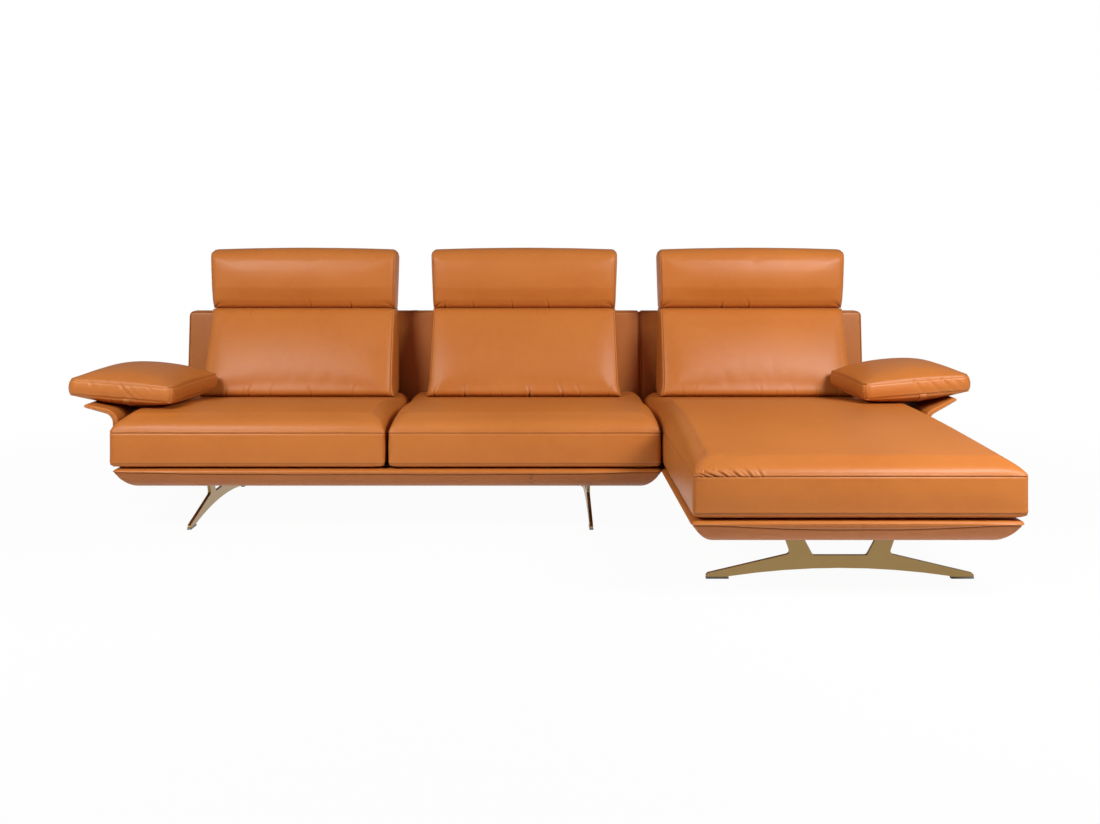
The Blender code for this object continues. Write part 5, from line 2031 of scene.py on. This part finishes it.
@dataclass
class LegPlate:
    """A flat bronze leg: the CAD plate with its edges broken."""

    node: str
    edge: float = 0.0011

    def build(self) -> None:
        """Merges a copy of the CAD mesh and bevels its sharp edges."""
        mesh = frame["nodes"][self.node].data.copy()
        builder = bmesh.new()
        builder.from_mesh(mesh)
        bmesh.ops.remove_doubles(builder, verts=builder.verts, dist=1e-5)
        bmesh.ops.dissolve_limit(builder, angle_limit=0.005, verts=builder.verts, edges=builder.edges)
        builder.to_mesh(mesh)
        builder.free()
        mesh.materials.clear()
        mesh.materials.append(PAINTS.of(BRONZE))
        piece = bpy.data.objects.new(f"bronze_{self.node}", mesh)
        bpy.context.scene.collection.objects.link(piece)
        mesh.shade_smooth()
        mesh.set_sharp_from_angle(angle=math.radians(30.0))
        bevel = piece.modifiers.new("broken_edges", "BEVEL")
        bevel.width = self.edge
        bevel.segments = 2
        bevel.limit_method = "ANGLE"
        bevel.angle_limit = math.radians(40.0)
        bevel.harden_normals = True
        carry(piece, ROOT_BODY, [self.node])


# Studio


@dataclass(frozen=True)
class Softbox:
    """A rectangular lamp that faces a point, and that leather and metal may mirror."""

    name: str
    place: Triple
    aim: Triple
    size: tuple[float, float]
    watts: float
    mirrored: bool = True

    def build(self) -> None:
        """Hangs the lamp and turns it towards its aim."""
        data = bpy.data.lights.new(self.name, "AREA")
        data.shape = "RECTANGLE"
        data.size, data.size_y = self.size
        data.energy = self.watts
        made = bpy.data.objects.new(self.name, data)
        made.location = self.place
        made.visible_glossy = self.mirrored
        x, y, z = np.array(self.aim) - np.array(self.place)
        made.rotation_euler = (math.atan2(math.hypot(x, y), -z), 0.0, math.atan2(y, x) - math.pi / 2)
        bpy.context.scene.collection.objects.link(made)


SOFTBOXES = (
    Softbox("softbox_left", (-1.85, -1.75, 1.95), (-0.6, 0.6, 0.6), (0.9, 0.9), watts=57.0),
    Softbox("softbox_right", (1.95, -1.75, 2.0), (0.8, 0.6, 0.6), (0.9, 0.9), watts=80.0),
    Softbox("softbox_top", (0.0, -0.5, 3.6), (0.0, 0.0, 0.4), (4.2, 1.6), watts=9.0),
    Softbox("softbox_rear", (0.0, 3.5, 0.75), (0.0, 0.9, 0.5), (2.4, 0.7), watts=30.0, mirrored=False),
)


@dataclass
class Studio:
    """Camera, lamps, a white floor and a white sky."""

    camera_place: Triple = (0.054, -4.085, 1.0)
    focal_px: float = 1147.0
    centre_px: tuple[float, float] = (538.0, 250.0)
    image: tuple[int, int] = (1100, 824)
    floor_half: float = 14.0
    floor_glow: float = 0.96
    sky_mirrored: float = 0.22
    sky_soft: float = 0.07

    def camera(self) -> None:
        """A level camera: the horizon is above the middle of the picture, so the lens is shifted down."""
        width, height = self.image
        data = bpy.data.cameras.new("camera")
        data.sensor_width = 36.0
        data.lens = 36.0 * self.focal_px / width
        data.shift_x = (width / 2 - self.centre_px[0]) / width
        data.shift_y = -(height / 2 - self.centre_px[1]) / width
        made = bpy.data.objects.new("camera", data)
        made.location = self.camera_place
        made.rotation_euler = (math.pi / 2, 0.0, 0.0)
        bpy.context.scene.collection.objects.link(made)
        bpy.context.scene.camera = made

    def floor(self) -> None:
        """A white floor that looks white to the camera and keeps a soft shadow."""
        shader = Shader("floor_white")
        tree = shader.tree
        paths = tree.nodes.new("ShaderNodeLightPath")
        seen = Value(shader, paths.outputs["Is Camera Ray"]) + Value(shader, paths.outputs["Is Glossy Ray"])
        seen = (seen + Value(shader, paths.outputs["Is Transmission Ray"])).limited()
        far = shader.node("ShaderNodeVectorMath", {"operation": "LENGTH"}, {0: shader.place()}, "Value")
        seen = seen * (self.floor_glow + (1.0 - self.floor_glow) * (far * 0.45 - 0.75).limited())
        glow = tree.nodes.new("ShaderNodeEmission")
        blend = tree.nodes.new("ShaderNodeMixShader")
        shader.dress(Base_Color=(0.72, 0.72, 0.72), Roughness=0.9, Specular_IOR_Level=0.0)
        shader.feed(blend.inputs[0], seen)
        tree.links.new(shader.surface.outputs[0], blend.inputs[1])
        tree.links.new(glow.outputs[0], blend.inputs[2])
        tree.links.new(blend.outputs[0], shader.output.inputs["Surface"])
        h = self.floor_half
        mesh = bpy.data.meshes.new("floor")
        mesh.from_pydata([(-h, -h, 0.0), (h, -h, 0.0), (h, h, 0.0), (-h, h, 0.0)], [], [(0, 1, 2, 3)])
        mesh.materials.append(shader.material)
        made = bpy.data.objects.new("floor", mesh)
        bpy.context.scene.collection.objects.link(made)

    def sky(self) -> None:
        """A soft even light from all round, white to the camera; leather and metal mirror a share of it."""
        world = bpy.data.worlds.new("studio")
        world.use_nodes = True
        bpy.context.scene.world = world
        tree = world.node_tree
        tree.nodes.clear()
        output = tree.nodes.new("ShaderNodeOutputWorld")
        paths = tree.nodes.new("ShaderNodeLightPath")
        blend = tree.nodes.new("ShaderNodeMixShader")
        for number, strength in ((1, self.sky_soft), (2, 1.0)):
            background = tree.nodes.new("ShaderNodeBackground")
            background.inputs["Color"].default_value = (1.0, 1.0, 1.0, 1.0)
            background.inputs["Strength"].default_value = strength
            tree.links.new(background.outputs[0], blend.inputs[number])
        added = paths.outputs["Is Camera Ray"]
        for ray, share in (("Is Transmission Ray", 1.0), ("Is Glossy Ray", self.sky_mirrored)):
            sums = tree.nodes.new("ShaderNodeMath")
            sums.operation = "MULTIPLY_ADD"
            sums.inputs[1].default_value = share
            tree.links.new(paths.outputs[ray], sums.inputs[0])
            tree.links.new(added, sums.inputs[2])
            added = sums.outputs[0]
        tree.links.new(added, blend.inputs[0])
        tree.links.new(blend.outputs[0], output.inputs["Surface"])

    def build(self) -> None:
        """Sets up the whole studio."""
        self.camera()
        self.floor()
        self.sky()
        for softbox in SOFTBOXES:
            softbox.build()
        bpy.context.scene.view_settings.view_transform = "Standard"


# The sofa


def dress_frame() -> None:
    """Gives each CAD node that stays in sight its finish."""
    rules: tuple[tuple[str, Finish], ...] = (
        ("glide_", FELT),
        ("leg_bolt_", ZINC),
        ("joining_bolt_", ZINC),
        ("pivot_rod_", ZINC),
        ("joining_plate_", STEEL),
        ("arm_bracket_", STEEL),
        ("back_frame_", STEEL),
        ("headrest_frame_", STEEL),
        ("_underframe", TIMBER),
        ("_webbing", WEBBING),
    )
    for name, made in frame["nodes"].items():
        finish = next((finish for part, finish in rules if part in name), None)
        if finish is not None and not made.hide_render:
            made.data.materials.clear()
            made.data.materials.append(PAINTS.of(finish))
            LOG.info("%s stays, in %s", name, finish.name)


def arm_pillows(wings: dict[str, ArmWing]) -> tuple[ArmPillow, ArmPillow]:
    """The two loose pillows.

    Args:
        wings: the wings that they lie on, by side.

    Returns:
        The left and the right pillow.
    """
    shared = {"fill": 0.85, "step": 0.005, "cap": 0.013, "side_cap": 0.006}
    left = ArmPillow(
        "arm_cushion_left",
        "left_arm_pillow",
        seed=91,
        wing=wings["left"],
        turn_deg=4.5,
        folds=(
            Fold(0.205, depth=0.0065, length=0.030, width=0.0055, lean=1.1, start=0.012),
            Fold(0.300, depth=0.0060, length=0.022, width=0.0045, lean=2.2, start=0.006),
            Fold(0.255, depth=0.0040, length=0.020, width=0.0050, lean=1.4, start=0.026),
            Fold(0.090, depth=0.0024, length=0.026, width=0.0070, lean=0.9, start=0.010),
        ),
        tab_at=0.216,
        **shared,
    )
    right = ArmPillow(
        "arm_cushion_right",
        "right_arm_pillow",
        seed=96,
        wing=wings["right"],
        tilt_deg=4.8,
        turn_deg=0.5,
        folds=(
            Fold(0.190, depth=0.0045, length=0.030, width=0.0065, lean=0.7, start=0.010),
            Fold(0.245, depth=0.0050, length=0.028, width=0.0060, lean=0.8, start=0.012),
            Fold(0.290, depth=0.0060, length=0.030, width=0.0055, lean=0.9, start=0.010),
            Fold(0.330, depth=0.0040, length=0.026, width=0.0060, lean=1.0, start=0.012),
        ),
        tab_at=0.212,
        **shared,
    )
    return left, right


def pads(wings: dict[str, ArmWing]) -> list[Pad]:
    """Every cushion of the sofa.

    Args:
        wings: the arm wings, by side.

    Returns:
        The cushions in the order in which they are made.
    """
    left, right = arm_pillows(wings)
    corner_folds = tuple(
        Fold(place, depth, length, width=0.0042, lean=lean, start=0.016, widening=0.05)
        for place, depth, length, lean in (
            (0.040, 0.0045, 0.022, -1.2),
            (0.064, 0.0085, 0.030, -1.2),
            (0.090, 0.0120, 0.036, -1.1),
            (0.122, 0.0105, 0.038, -0.9),
            (0.160, 0.0095, 0.040, -0.7),
            (0.198, 0.0080, 0.040, -0.5),
            (0.230, 0.0055, 0.036, -0.3),
        )
    )
    made: list[Pad] = [
        left,
        right,
        SeatCushion(
            "sofa_seat_cushion_left",
            ROOT_BODY,
            seed=11,
            fill=0.75,
            backrest="back_cushion_left",
            pillow=left,
            swollen=(0.0100, 0.0),
        ),
        SeatCushion(
            "sofa_seat_cushion_right", ROOT_BODY, seed=23, fill=0.75, backrest="back_cushion_middle"
        ),
        SeatCushion(
            "chaise_seat_cushion",
            ROOT_BODY,
            seed=37,
            fill=0.75,
            step=0.0115,
            backrest="back_cushion_chaise",
            pillow=right,
            crown=(0.040, 0.082, 0.900),
            roundness=2.5,
            swollen=(0.0, 0.009),
            folds=corner_folds,
            cross_seam=0.07,
            close_lines=0.27,
        ),
    ]
    shared = {"fill": 0.7, "step": 0.007}
    for number, (place, gathered) in enumerate(zip(PLACES, (0.65, 0.80, 0.30))):
        back_seed, head_seed = 41 + 7 * number, 71 + 7 * number
        made.append(
            BackCushion(f"back_cushion_{place}", ROOT_BODY, back_seed, gathered=gathered, **shared)
        )
        made.append(Headrest(f"headrest_{place}", f"{place}_headrest", head_seed, **shared))
    return made


def main() -> None:
    """Builds the studio and every piece of the sofa in order."""
    logging.basicConfig(level=logging.INFO, format="%(message)s")
    Studio().build()
    wings = {
        "left": ArmWing("arm_wing_left", sign=-1, bend_deg=76.0, blade=0.078),
        "right": ArmWing("arm_wing_right", sign=1, bend_deg=62.0, blade=0.090),
    }
    for pad in pads(wings):
        pad.build()
    BaseTray("sofa_base_shell", join_x=0.03, beside=1, seam_drop=0.0108, sag_run=0.40).build()
    BaseTray("chaise_base_shell", join_x=0.975, beside=-1, seed=8).build()
    BackShell("sofa_back_shell", beside=1, joins=1).build()
    BackShell("chaise_back_shell", beside=-1, seed=6).build()
    for wing in wings.values():
        wing.build()
    for place in PLACES:
        CreaseFold(place).build()
    for leg in ("sofa_left", "sofa_right", "chaise_front", "chaise_rear"):
        LegPlate(f"leg_{leg}").build()
    dress_frame()


if __name__ == "__main__":
    main()
